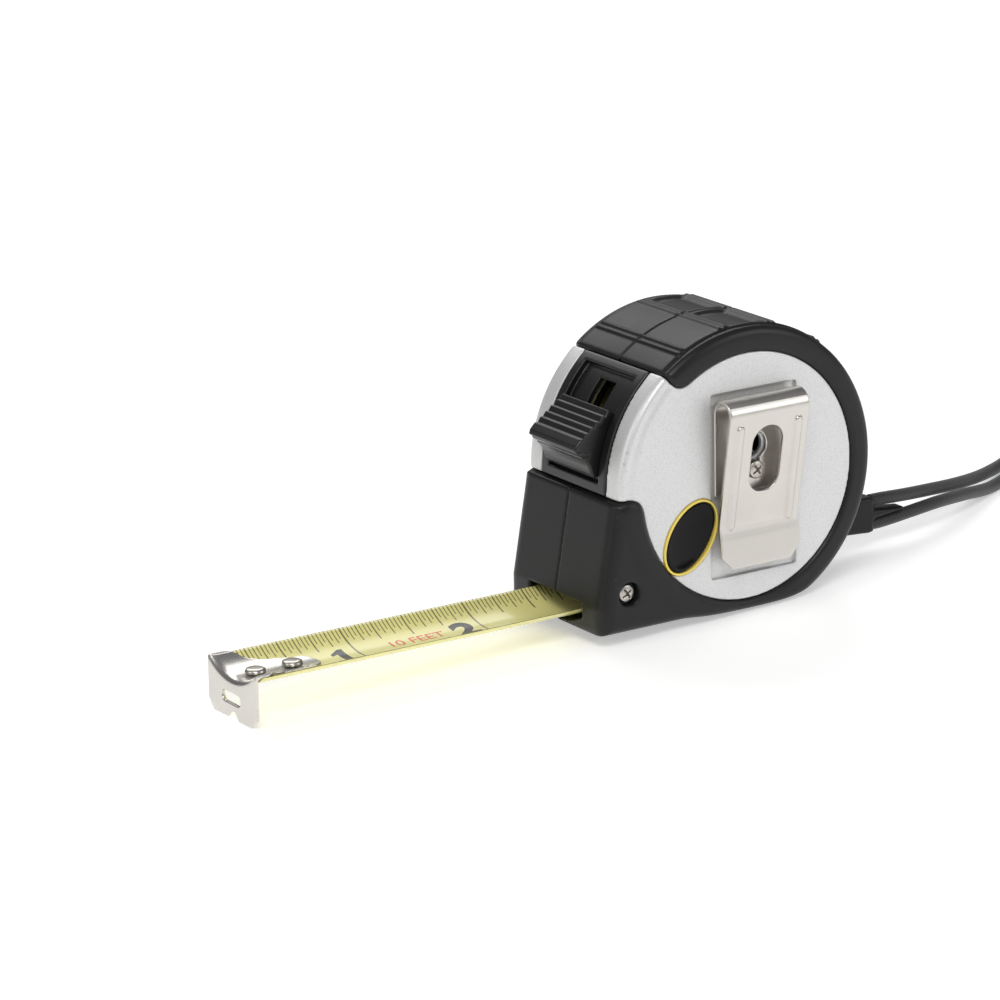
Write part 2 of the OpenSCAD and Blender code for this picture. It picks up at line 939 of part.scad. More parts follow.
module clip_screw() {
    head_y = -plate_y - clip_t - slip;
    color(steel)
        difference() {
            union() {
                disc_y(reel_x, reel_z, screw_head_r, head_y - 0.6, head_y);
                about_y(reel_x, reel_z)
                    polygon([[0, head_y - 1.05], [screw_head_r * 0.6, head_y - 0.95],
                        [screw_head_r, head_y - 0.6], [0, head_y - 0.6]]);
                disc_y(reel_x, reel_z, screw_r, head_y - 0.1, -side_in + 5);
            }
            cross_slot(reel_x, reel_z, head_y - 1.2);
        }
}

// A cross-shaped driver slot.
module cross_slot(x, z, y) {
    for (turn = [35, 125])
        translate([x, y, z])
            rotate([0, turn, 0])
                cube([2, 1.5, 0.45], center = true);
}

module nose_screw() {
    seat = -half + nose_screw_sunk - slip;
    color(steel)
        difference() {
            union() {
                disc_y(nose_screw_x, nose_screw_z, screw_head_r, seat - 0.7, seat);
                about_y(nose_screw_x, nose_screw_z)
                    polygon([[0, seat - 1.2], [screw_head_r * 0.6, seat - 1.1],
                        [screw_head_r, seat - 0.7], [0, seat - 0.7]]);
                disc_y(nose_screw_x, nose_screw_z, screw_r, seat - 0.1, nose_side_in - 1.4);
            }
            cross_slot(nose_screw_x, nose_screw_z, seat - 1.4);
        }
}

// ---------- strap ----------

module strap_pin() {
    color(steel)
        disc_y(tab_pin_x, tab_pin_z, 0.8, -7, 7);
}

module strap_tab() {
    color(black)
        along_y(-tab_half_w, tab_half_w)
            difference() {
                union() {
                    translate([tab_pin_x, tab_pin_z])
                        circle(1.9);
                    polygon([[tab_pin_x, tab_pin_z + 1.9], [tab_pin_x, tab_pin_z - 1.9], [26, 5.2],
                        [strap_start_x, 4.4], [tab_end_x, 4.6], [tab_end_x, 6.7], [38.6, 7],
                        [tab_tip_x, 7.75], [tab_tip_x, 8.1], [38.6, 8.8], [tab_end_x, 9.1], [tab_end_x, 11.2],
                        [strap_start_x, 11.4], [30, 11.6]]);
                }
                translate([tab_pin_x, tab_pin_z])
                    circle(0.8 + slip);
            }
}

// The loop's middle line through hand-set points: out on one strand, round the end, back on the other.
strap_route = [[38.3, 0, 10.15], [41.5, 0, 10.1], [47.5, 1.1, 9.5], [55, 3.6, 8.5], [64, 7.4, 7.1], [74, 12.8, 5.5],
    [83, 18, 4.6], [92, 22.4, 4.8], [102, 25, 5.2], [112, 24.6, 5.6], [120.6, 20.6, 6],
    [127, 13, 6.2], [129.6, 3.8, 6.4], [127.6, -5.8, 6.3], [121.6, -13.6, 6], [113.6, -18, 5.7],
    [105.4, -18.2, 5.3], [101.4, -13.4, 5.1], [104.2, -8.2, 5.3], [110.4, -7.6, 5.5],
    [117, -6.6, 5.8], [122.2, -2, 6], [124.6, 4, 6.1], [122.8, 11, 6], [117.6, 17, 5.8],
    [110.8, 20.4, 5.5], [102.4, 20.8, 5.2], [93.4, 18.2, 4.8], [84.4, 14, 4.4], [75, 9.8, 4],
    [65, 5.1, 5.5], [56, 1.6, 6.5], [48, 0.2, 6.3], [41.5, 0, 5.75], [38.3, 0, 5.65]];
// A point on a smooth line through p, t of the way from point i to the next one.
function along(p, i, t) = let (
    a = p[max(i - 1, 0)], b = p[i], c = p[i + 1], d = p[min(i + 2, len(p) - 1)]
) 0.5 * (2 * b + (c - a) * t + (2 * a - 5 * b + 4 * c - d) * t * t + (3 * b - a - 3 * c + d) * t * t * t);
function smooth(p, n) = concat(
    [for (i = [0:len(p) - 2]) for (k = [0:n - 1]) along(p, i, k / n)], [p[len(p) - 1]]);

module wrist_strap() {
    color(black)
        tube(smooth(strap_route, 2), strap_d / 2, 8);
}

// ---------- everything ----------

shell_clip_side();
shell_far_side();
bumper_clip_side();
bumper_far_side();
lock_track();
lock_slider();
lock_lever();
lever_pin();
lever_spring();
tape_blade();
tape_feed();
tape_coil();
end_hook();
hook_rivets();
reel_drum();
reel_cover();
mainspring();
centre_post();
brake_button();
button_ring();
button_spring();
brake_pad();
clip_plate();
clip_leaf();
clip_screw();
nose_screw();
strap_pin();
strap_tab();
wrist_strap();
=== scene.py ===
"""Looks of a pocket tape measure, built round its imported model.

Every size is in millimetres until a mesh is made; meshes are in metres.
"""

import math

import bmesh
import bpy
import numpy as np
import openvdb
from mathutils import Matrix, Vector


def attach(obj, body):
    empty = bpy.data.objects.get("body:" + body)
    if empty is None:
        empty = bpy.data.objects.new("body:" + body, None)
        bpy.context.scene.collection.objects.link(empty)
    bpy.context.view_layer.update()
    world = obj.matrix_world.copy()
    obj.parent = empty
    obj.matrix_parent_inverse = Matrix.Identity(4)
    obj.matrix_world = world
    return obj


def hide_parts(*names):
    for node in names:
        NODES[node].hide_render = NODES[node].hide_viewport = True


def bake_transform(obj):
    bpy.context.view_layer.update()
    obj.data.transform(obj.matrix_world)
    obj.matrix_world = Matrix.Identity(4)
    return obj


bl_info = {
    "name": "Pocket tape measure",
    "version": (1, 0, 0),
    "blender": (4, 5, 0),
    "location": "3D View > Sidebar > Tape",
    "description": "Builds the moulded case, blade, hook, clip and strap of a pocket tape measure",
    "category": "Object",
}

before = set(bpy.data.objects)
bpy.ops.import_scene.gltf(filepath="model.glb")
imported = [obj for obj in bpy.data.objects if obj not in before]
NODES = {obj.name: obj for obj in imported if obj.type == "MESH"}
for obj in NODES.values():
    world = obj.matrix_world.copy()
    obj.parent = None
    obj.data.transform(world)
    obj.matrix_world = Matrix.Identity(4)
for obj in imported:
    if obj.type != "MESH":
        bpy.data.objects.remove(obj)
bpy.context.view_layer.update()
MM = 0.001

# Places that the model fixes
CASE_Z = 24.9
CASE_R = 27.5
NOSE_TOP = 24.5
NOSE_X = 31.7
MOUTH_TOP = 5.55
MOUTH_HALF = 8.35
RIM_FROM = 130.0
REEL = (1.3, 26.1)
LOCK_WAY_FROM = 136
BUTTON = (-12.5, 15.8)
BUTTON_LONG, BUTTON_WIDE = 13.4, 8.6
BUTTON_TURN = math.radians(54)
KEYHOLE = (30.4, 2.2)
NOSE_SCREW = (-25.9, 7.8)
ZERO_X = -97.2
BLADE_Z = 1.65
BLADE_ARC = 13.052
BLADE_T = 0.14
INCH = 25.4
HOOK_T = 0.8
RIVETS = (ZERO_X + 4.0, 7.3)
ROOT_X = -14.0
RIVET_TOP = 3.67
GRIP_RIBS = (-12.0, 10.0, 31.0, 53.0, 76.0, 98.0, 118.0)


# ---------- sizes and colours a user would change ----------


def colour_of(name, description, default):
    return bpy.props.FloatVectorProperty(name=name, description=description, subtype="COLOR", size=3,
                                         default=default, min=0, max=1)


def length_of(name, description, default, low, high):
    return bpy.props.FloatProperty(name=name, description=description, default=default, min=low, max=high,
                                   unit="LENGTH")


class TapeCase(bpy.types.PropertyGroup):
    """Finish of the case"""

    bumper_colour: colour_of("Bumper", "Colour of the moulded grip", (0.008, 0.008, 0.008))
    shell_colour: colour_of("Shell", "Colour of the metallic shell", (0.68, 0.68, 0.68))
    cell: length_of("Fineness", "Spacing of the points that shape the big mouldings", 0.00028, 0.0002, 0.001)
    scoop: length_of("Scoop", "Depth of the scooped panels between the grip ribs", 0.0006, 0, 0.001)
    rib: length_of("Rib", "Height of the grip ribs", 0.0004, 0, 0.0008)


class TapeBlade(bpy.types.PropertyGroup):
    """Blade and its print"""

    paint: colour_of("Paint", "Colour of the blade", (0.82, 0.77, 0.30))
    width: length_of("Width", "Width of the blade", 0.0159, 0.01, 0.02)
    thickness: length_of("Thickness", "Thickness of the blade", 0.00014, 0.0001, 0.0003)


class TapeClip(bpy.types.PropertyGroup):
    """Belt clip"""

    width: length_of("Width", "Width of the clip", 0.0172, 0.01, 0.02)
    sheet: length_of("Sheet", "Thickness of the clip's sheet", 0.00076, 0.0005, 0.001)
    rib: length_of("Rib", "How far the pressed ribs stand out", 0.00045, 0, 0.0006)


class TapeStrap(bpy.types.PropertyGroup):
    """Wrist strap"""

    thickness: length_of("Thickness", "Thickness of the cord", 0.0024, 0.002, 0.003)
    colour: colour_of("Cord", "Colour of the cord", (0.007, 0.007, 0.007))


class TapeStage(bpy.types.PropertyGroup):
    """Floor, light and camera"""

    distance: length_of("Distance", "From the camera to what it looks at", 0.801, 0.3, 3)
    azimuth: bpy.props.FloatProperty(
        name="Azimuth", description="Turn of the camera about the object", default=math.radians(-32.81),
        unit="ROTATION")
    elevation: bpy.props.FloatProperty(name="Elevation", description="Height of the camera as an angle",
                                       default=math.radians(16.42), unit="ROTATION")
    light: bpy.props.FloatProperty(
        name="Light", description="Strength of all the lights together", default=0.43, min=0, max=5)


# ---------- shaping solids from distances ----------


class Block:
    """A block of space in millimetres, with its points on a regular grid."""

    def __init__(self, low, high, step):
        self.step = step
        self.low = np.array(low, dtype=np.float32) - 2 * step
        count = np.ceil((np.array(high) + 2 * step - self.low) / step).astype(int) + 1
        axes = [self.low[i] + step * np.arange(count[i], dtype=np.float32) for i in range(3)]
        self.x = axes[0][:, None, None]
        self.y = axes[1][None, :, None]
        self.z = axes[2][None, None, :]


def meet(a, b, edge=0.0):
    """Where two solids overlap, with the new edge rounded."""
    if edge <= 0:
        return np.maximum(a, b)
    return np.maximum(a, b) + np.maximum(edge - np.abs(a - b), 0) ** 2 / (4 * edge)


def join(a, b, fillet=0.0):
    """Two solids as one, with a fillet between them."""
    return -meet(-a, -b, fillet)


def cut(a, b, edge=0.0):
    """The first solid less the second."""
    return meet(a, -b, edge)


def band(v, low, high):
    return np.maximum(low - v, v - high)


def bump(v, middle, width):
    return np.exp(-((v - middle) / width) ** 2)


def soft_step(v):
    v = np.clip(v, 0, 1)
    return v * v * (3 - 2 * v)


def nearer(best, u, v, start, end):
    """The lesser of a squared distance so far and that to one straight line."""
    du, dv = end[0] - start[0], end[1] - start[1]
    t = np.clip(((u - start[0]) * du + (v - start[1]) * dv) / (du * du + dv * dv), 0, 1)
    gap = (u - start[0] - du * t) ** 2 + (v - start[1] - dv * t) ** 2
    return gap if best is None else np.minimum(best, gap)


def outline(u, v, corners):
    """Distance to a closed outline, less than zero inside it."""
    best = None
    inside = None
    for (u0, v0), (u1, v1) in zip(corners, corners[1:] + corners[:1]):
        best = nearer(best, u, v, (u0, v0), (u1, v1))
        crossed = ((v0 > v) != (v1 > v)) & (u < (u1 - u0) * (v - v0) / ((v1 - v0) or 1e-9) + u0)
        inside = crossed if inside is None else inside ^ crossed
    return np.where(inside, -1.0, 1.0) * np.sqrt(best)


def path_distance(u, v, points):
    """Distance to an open line of points."""
    best = None
    for start, end in zip(points, points[1:]):
        best = nearer(best, u, v, start, end)
    return np.sqrt(best)


def lozenge(u, v, centre, length, width):
    """Distance to a slot shape with round ends."""
    a, b = u - centre[0], v - centre[1]
    reach = (length - width) / 2
    return np.hypot(a - np.clip(a, -reach, reach), b) - width / 2


def oval(u, v, centre, length, width, turn):
    """Distance to an ellipse, good near its edge."""
    c, s = math.cos(turn), math.sin(turn)
    a = ((u - centre[0]) * c + (v - centre[1]) * s) / (length / 2)
    b = (-(u - centre[0]) * s + (v - centre[1]) * c) / (width / 2)
    k = np.hypot(a, b) + 1e-6
    return k * (k - 1) / (np.hypot(a / (length / 2), b / (width / 2)) + 1e-6)


def polar(angle, radius):
    a = math.radians(angle)
    return (radius * math.cos(a), CASE_Z + radius * math.sin(a))


def skin(name, block, distance, body, nodes=(), material=None):
    """The surface where a distance is zero, as a piece that rides on a body."""
    step = block.step
    values = np.ascontiguousarray(np.clip(distance, -3 * step, 3 * step), dtype=np.float32)
    grid = openvdb.FloatGrid(3 * step)
    grid.copyFromArray(values)
    points, quads = grid.convertToQuads()
    points = (points * step + block.low) * MM
    quads = quads.astype(np.int64)
    a, b, c, d = (points[quads[:, i]] for i in range(4))
    volume = np.einsum("ij,ij->i", a, np.cross(b, c)).sum() + np.einsum("ij,ij->i", a, np.cross(c, d)).sum()
    if volume < 0:
        quads = quads[:, ::-1]
    mesh = bpy.data.meshes.new(name)
    mesh.vertices.add(len(points))
    mesh.vertices.foreach_set("co", points.astype(np.float32).ravel())
    mesh.loops.add(4 * len(quads))
    mesh.loops.foreach_set("vertex_index", quads.astype(np.int32).ravel())
    mesh.polygons.add(len(quads))
    mesh.polygons.foreach_set("loop_start", np.arange(0, 4 * len(quads), 4, dtype=np.int32))
    mesh.polygons.foreach_set("loop_total", np.full(len(quads), 4, dtype=np.int32))
    mesh.update(calc_edges=True)
    mesh.validate()
    mesh.shade_smooth()
    return piece(name, mesh, body, nodes, material)


def piece(name, mesh, body, nodes=(), material=None):
    """A finished mesh as a piece that rides on a body and stands for its nodes."""
    made = bpy.data.objects.new(name, mesh)
    bpy.context.scene.collection.objects.link(made)
    if material is not None:
        mesh.materials.clear()
        mesh.materials.append(material)
    if body:
        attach(made, body)
    if nodes:
        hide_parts(*nodes)
    return made


def mesh_from(name, points, faces):
    mesh = bpy.data.meshes.new(name)
    mesh.from_pydata([tuple(float(c) * MM for c in p) for p in points], [], [tuple(f) for f in faces])
    mesh.update()
    return mesh


def outward(mesh):
    bm = bmesh.new()
    bm.from_mesh(mesh)
    bmesh.ops.remove_doubles(bm, verts=bm.verts, dist=1e-7)
    bmesh.ops.recalc_face_normals(bm, faces=bm.faces)
    bm.to_mesh(mesh)
    bm.free()
    mesh.update()


# ---------- finishes ----------


def group(name, inputs, outputs):
    """An empty shader group with named sockets, and its two end nodes."""
    tree = bpy.data.node_groups.new(name, "ShaderNodeTree")
    for title, kind, value in inputs:
        socket = tree.interface.new_socket(title, in_out="INPUT", socket_type=kind)
        socket.default_value = value
    for title, kind in outputs:
        tree.interface.new_socket(title, in_out="OUTPUT", socket_type=kind)
    return tree, tree.nodes.new("NodeGroupInput"), tree.nodes.new("NodeGroupOutput")


def node(tree, kind, links=None, **values):
    """A node with its settings and the sockets that feed it."""
    made = tree.nodes.new(kind)
    for key, value in values.items():
        if key.startswith("in_"):
            made.inputs[int(key[3:])].default_value = value
        else:
            setattr(made, key, value)
    for index, source in (links or {}).items():
        tree.links.new(source, made.inputs[index])
    return made


def maths(tree, operation, a, b=None, c=None, clamp=False):
    made = tree.nodes.new("ShaderNodeMath")
    made.operation = operation
    made.use_clamp = clamp
    for index, value in enumerate((a, b, c)):
        if value is None:
            continue
        if isinstance(value, (int, float)):
            made.inputs[index].default_value = value
        else:
            tree.links.new(value, made.inputs[index])
    return made.outputs[0]


def mix_colour(tree, factor, a, b):
    made = tree.nodes.new("ShaderNodeMix")
    made.data_type = "RGBA"
    for index, value in ((0, factor), (6, a), (7, b)):
        if isinstance(value, (int, float)):
            made.inputs[index].default_value = value
        elif isinstance(value, tuple):
            made.inputs[index].default_value = (*value, 1.0) if len(value) == 3 else value
        else:
            tree.links.new(value, made.inputs[index])
    return made.outputs[2]


def make_moulded_grain():
    """Fine grain of a moulded or painted face: a height, and slow and fast changes of tone."""
    tree, start, end = group(
        "Moulded grain",
        [("Grain", "NodeSocketFloat", 3500.0), ("Cloud", "NodeSocketFloat", 90.0)],
        [("Height", "NodeSocketFloat"), ("Cloud", "NodeSocketFloat"), ("Speck", "NodeSocketFloat")])
    place = object_place(tree)
    fine = node(tree, "ShaderNodeTexNoise", {0: place, 2: start.outputs[0]}, in_3=3.0, in_4=0.6)
    cloud = node(tree, "ShaderNodeTexNoise", {0: place, 2: start.outputs[1]}, in_3=4.0, in_4=0.55)
    speck = node(tree, "ShaderNodeTexVoronoi", {0: place, 2: start.outputs[0]})
    tree.links.new(fine.outputs[0], end.inputs[0])
    tree.links.new(cloud.outputs[0], end.inputs[1])
    tree.links.new(speck.outputs[0], end.inputs[2])
    return tree


def make_edge_wear():
    """A mask of rubbed corners, broken up by a noise."""
    tree, start, end = group(
        "Edge wear",
        [("Reach", "NodeSocketFloat", 0.53), ("Breakup", "NodeSocketFloat", 700.0)],
        [("Mask", "NodeSocketFloat")])
    place = object_place(tree)
    sharp = node(tree, "ShaderNodeNewGeometry").outputs["Pointiness"]
    rough = node(tree, "ShaderNodeTexNoise", {0: place, 2: start.outputs[1]}, in_3=4.0).outputs[0]
    lifted = maths(tree, "SUBTRACT", sharp, start.outputs[0])
    mask = maths(tree, "MULTIPLY", lifted, 14.0, clamp=True)
    broken = maths(tree, "MULTIPLY", mask, maths(tree, "MULTIPLY_ADD", rough, 2.4, -0.7, clamp=True))
    tree.links.new(broken, end.inputs[0])
    return tree


def make_brush_lines():
    """Fine parallel scratches along one axis, as a height and a tone."""
    tree, start, end = group(
        "Brush lines",
        [("Stretch", "NodeSocketVector", (9000.0, 9000.0, 120.0)), ("Smudge", "NodeSocketFloat", 160.0)],
        [("Height", "NodeSocketFloat"), ("Tone", "NodeSocketFloat")])
    place = object_place(tree)
    scaled = node(tree, "ShaderNodeVectorMath", {0: place, 1: start.outputs[0]},
                  operation="MULTIPLY").outputs[0]
    lines = node(tree, "ShaderNodeTexNoise", {0: scaled}, in_2=1.0, in_3=3.0).outputs[0]
    smudge = node(tree, "ShaderNodeTexNoise", {0: place, 2: start.outputs[1]}, in_3=5.0).outputs[0]
    tree.links.new(lines, end.inputs[0])
    tree.links.new(smudge, end.inputs[1])
    return tree


def new_material(name, **values):
    material = bpy.data.materials.new(name)
    material.use_nodes = True
    shader = material.node_tree.nodes["Principled BSDF"]
    for title, value in values.items():
        shader.inputs[title.replace("_", " ")].default_value = value
    return material, material.node_tree, shader


def place_group(tree, source, **values):
    made = tree.nodes.new("ShaderNodeGroup")
    made.node_tree = source
    for title, value in values.items():
        made.inputs[title].default_value = value
    return made


def object_place(tree):
    return node(tree, "ShaderNodeTexCoord").outputs["Object"]


def split(tree, source):
    """The x, y and z of a vector."""
    return node(tree, "ShaderNodeSeparateXYZ", {0: source}).outputs


def coat(tree, shader, colour, rough):
    """Feeds a finish's colour and roughness."""
    tree.links.new(colour, shader.inputs["Base Color"])
    tree.links.new(rough, shader.inputs["Roughness"])


def add_bump(tree, shader, height, strength, distance=0.00004):
    made = tree.nodes.new("ShaderNodeBump")
    tree.links.new(height, made.inputs["Height"])
    made.inputs["Strength"].default_value = strength
    made.inputs["Distance"].default_value = distance
    tree.links.new(made.outputs[0], shader.inputs["Normal"])
    return made


def moulded(name, colour, rough, grain=3500.0, relief=0.25, wear=0.35, spread=0.12, **values):
    """A moulded or painted finish: grain, slow changes of tone and rubbed corners."""
    material, tree, shader = new_material(name, **values)
    base = place_group(tree, GROUPS["grain"], Grain=grain)
    worn = place_group(tree, GROUPS["wear"])
    light = tuple(min(1.0, c * 1.25 + 0.005) for c in colour)
    dark = tuple(c * 0.82 for c in colour)
    tone = mix_colour(tree, base.outputs["Cloud"], dark, light)
    rubbed = tuple(min(1.0, c * 1.5 + 0.05) for c in colour)
    mask = maths(tree, "MULTIPLY", worn.outputs["Mask"], wear)
    slow = maths(tree, "MULTIPLY_ADD", base.outputs["Cloud"], spread, rough - spread / 2)
    coat(tree, shader, mix_colour(tree, mask, tone, rubbed), maths(tree, "MULTIPLY_ADD", mask, -0.12, slow))
    add_bump(tree, shader, base.outputs["Height"], relief)
    return material


def flake_paint(name, colour, rough):
    """Metallic paint: bright flakes in a paler coat over a faint orange peel."""
    material, tree, shader = new_material(name, Metallic=0.5, Coat_Weight=0.15, Coat_Roughness=0.25)
    base = place_group(tree, GROUPS["grain"], Grain=5200.0, Cloud=60.0)
    worn = place_group(tree, GROUPS["wear"], Reach=0.56)
    dark = tuple(c * 0.86 for c in colour)
    light = tuple(min(1.0, c * 1.16) for c in colour)
    flake = maths(tree, "MULTIPLY_ADD", base.outputs["Speck"], 0.9, 0.05, clamp=True)
    tone = mix_colour(tree, flake, light, dark)
    slow = mix_colour(tree, maths(tree, "MULTIPLY", base.outputs["Cloud"], 0.25), tone, light)
    mask = maths(tree, "MULTIPLY", worn.outputs["Mask"], 0.4)
    coat(tree, shader, mix_colour(tree, mask, slow, (0.3, 0.3, 0.31)),
         maths(tree, "MULTIPLY_ADD", base.outputs["Speck"], 0.16, rough - 0.06))
    add_bump(tree, shader, base.outputs["Height"], 0.22, 0.00003)
    return material


def plated(name, colour, rough, stretch=(9000.0, 9000.0, 120.0), relief=0.08):
    """Plated steel with rolling marks, smudges and a thin tarnish."""
    material, tree, shader = new_material(name, Metallic=1.0)
    lines = place_group(tree, GROUPS["brush"], Stretch=stretch)
    worn = place_group(tree, GROUPS["wear"], Reach=0.55)
    dull = tuple(c * 0.86 for c in colour)
    tone = mix_colour(tree, lines.outputs["Tone"], dull, colour)
    mask = maths(tree, "MULTIPLY", worn.outputs["Mask"], 0.4)
    soft = maths(tree, "MULTIPLY_ADD", lines.outputs["Tone"], 0.14, rough - 0.07)
    coat(tree, shader, mix_colour(tree, mask, tone, (0.82, 0.81, 0.8)),
         maths(tree, "MULTIPLY_ADD", lines.outputs["Height"], 0.06, soft))
    add_bump(tree, shader, lines.outputs["Height"], relief, 0.00002)
    return material


def inch_marks(tree, along, across):
    """Printed marks of an inch scale, 1 where there is ink, from metres along and across the blade."""
    ink = None
    half_width = 0.00795
    for parts, reach, line in ((1, 1.0, 0.00034), (2, 0.62, 0.00028), (4, 0.54, 0.00025), (8, 0.46, 0.00021),
                               (16, 0.38, 0.00018), (32, 0.28, 0.00016)):
        pitch = INCH * MM / parts
        turns = maths(tree, "DIVIDE", along, pitch)
        share = maths(tree, "FRACT", maths(tree, "ADD", turns, 0.5))
        near = maths(tree, "ABSOLUTE", maths(tree, "SUBTRACT", share, 0.5))
        off = maths(tree, "MULTIPLY", near, pitch)
        # dark within half a line, fading over a hair
        stroke = maths(tree, "MULTIPLY_ADD", off, -1 / 0.00003, 1 + line / 2 / 0.00003, clamp=True)
        end = half_width * (1 - reach * 0.94) if parts > 1 else -half_width * 0.97
        inside = maths(tree, "MULTIPLY_ADD", across, 1 / 0.00004, -end / 0.00004, clamp=True)
        stroke = maths(tree, "MULTIPLY", stroke, inside)
        ink = stroke if ink is None else maths(tree, "MAXIMUM", ink, stroke)
    # a dark line on the near edge
    border = maths(tree, "MULTIPLY_ADD", across, -1 / 0.00004, -half_width * 0.90 / 0.00004, clamp=True)
    return maths(tree, "MAXIMUM", ink, border)


def blade_paint(name, colour, printed):
    """Yellow enamel under a clear coat, with an inch scale on the upper side."""
    material, tree, shader = new_material(name, Coat_Weight=0.35, Coat_Roughness=0.12)
    base = place_group(tree, GROUPS["grain"], Grain=1800.0, Cloud=120.0)
    tone = mix_colour(tree, base.outputs["Cloud"], tuple(c * 0.93 for c in colour),
                      tuple(min(1, c * 1.04) for c in colour))
    if printed:
        place = split(tree, object_place(tree))
        rest = node(tree, "ShaderNodeAttribute", attribute_name="rest_x").outputs["Fac"]
        share = maths(tree, "MAXIMUM",
                      node(tree, "ShaderNodeAttribute", attribute_name="share").outputs["Fac"], 0.002)
        moved = maths(tree, "DIVIDE", maths(tree, "SUBTRACT", rest, place[0]), share)
        along = maths(tree, "ADD", maths(tree, "ADD", place[0], -ZERO_X * MM), moved)
        ink = inch_marks(tree, along, place[1])
        up = split(tree, node(tree, "ShaderNodeNewGeometry").outputs["Normal"])[2]
        top = maths(tree, "GREATER_THAN", up, 0.2)
        started = maths(tree, "GREATER_THAN", along, 0.0015)
        ink = maths(tree, "MULTIPLY", maths(tree, "MULTIPLY", ink, top), started)
        patchy = maths(tree, "MULTIPLY", ink, maths(tree, "MULTIPLY_ADD", base.outputs["Speck"], -0.25, 0.95))
        tone = mix_colour(tree, patchy, tone, (0.022, 0.020, 0.016))
    coat(tree, shader, tone, maths(tree, "MULTIPLY_ADD", base.outputs["Cloud"], 0.12, 0.27))
    add_bump(tree, shader, base.outputs["Height"], 0.06, 0.00002)
    return material


def printed_ink(name, colour):
    material, tree, shader = new_material(name, Coat_Weight=0.25, Coat_Roughness=0.15)
    base = place_group(tree, GROUPS["grain"], Grain=4000.0, Cloud=300.0)
    light = tuple(min(1, c * 1.6 + 0.01) for c in colour)
    coat(tree, shader, mix_colour(tree, base.outputs["Cloud"], colour, light),
         maths(tree, "MULTIPLY_ADD", base.outputs["Speck"], 0.2, 0.3))
    return material


def braid(name, colour):
    """Braided cord: crossing strands that follow the cord's own length and turn, their crests painted lighter
    as a highlight and the grooves darker as shade.
    """
    material, tree, shader = new_material(name, Sheen_Weight=0.25, Sheen_Roughness=0.5)
    place = split(tree, node(tree, "ShaderNodeUVMap", uv_map="cord").outputs[0])
    heights = []
    for lean in (1.0, -1.0):
        turned = maths(tree, "MULTIPLY_ADD", place[1], lean, place[0])
        heights.append(maths(tree, "ABSOLUTE",
                             maths(tree, "SINE", maths(tree, "MULTIPLY", turned, math.pi * 8))))
    weave_and_highlight = maths(tree, "MULTIPLY", heights[0], heights[1])
    base = place_group(tree, GROUPS["grain"], Grain=9000.0, Cloud=60.0)
    fibre = maths(tree, "MULTIPLY_ADD", base.outputs["Height"], 0.35, weave_and_highlight)
    # painted highlight and shade: the strands' crests are painted lighter and the grooves between them darker
    light = tuple(min(1, c * 1.8 + 0.005) for c in colour)
    tone = mix_colour(tree, weave_and_highlight, colour, light)
    coat(tree, shader, mix_colour(tree, maths(tree, "MULTIPLY", base.outputs["Cloud"], 0.3), tone, colour),
         maths(tree, "MULTIPLY_ADD", base.outputs["Cloud"], 0.15, 0.5))
    add_bump(tree, shader, fibre, 0.35, 0.00009)
    return material


def wound_edges(name):
    """Edges of the wound blade: fine rings about the reel's axis."""
    material, tree, shader = new_material(name, Metallic=0.6)
    place = split(tree, object_place(tree))
    dx = maths(tree, "ADD", place[0], -REEL[0] * MM)
    dz = maths(tree, "ADD", place[2], -REEL[1] * MM)
    radius = maths(tree, "SQRT",
                   maths(tree, "ADD", maths(tree, "MULTIPLY", dx, dx), maths(tree, "MULTIPLY", dz, dz)))
    turns = maths(tree, "ABSOLUTE",
                  maths(tree, "SINE", maths(tree, "MULTIPLY", radius, math.pi / (BLADE_T * MM))))
    base = place_group(tree, GROUPS["grain"], Grain=2000.0, Cloud=200.0)
    tone = mix_colour(tree, turns, (0.35, 0.32, 0.10), (0.78, 0.72, 0.2))
    coat(tree, shader,
         mix_colour(tree, maths(tree, "MULTIPLY", base.outputs["Cloud"], 0.4), tone, (0.5, 0.48, 0.4)),
         maths(tree, "MULTIPLY_ADD", base.outputs["Cloud"], 0.2, 0.3))
    add_bump(tree, shader, turns, 0.3, 0.00004)
    return material


GROUPS = {}
FINISH = {}


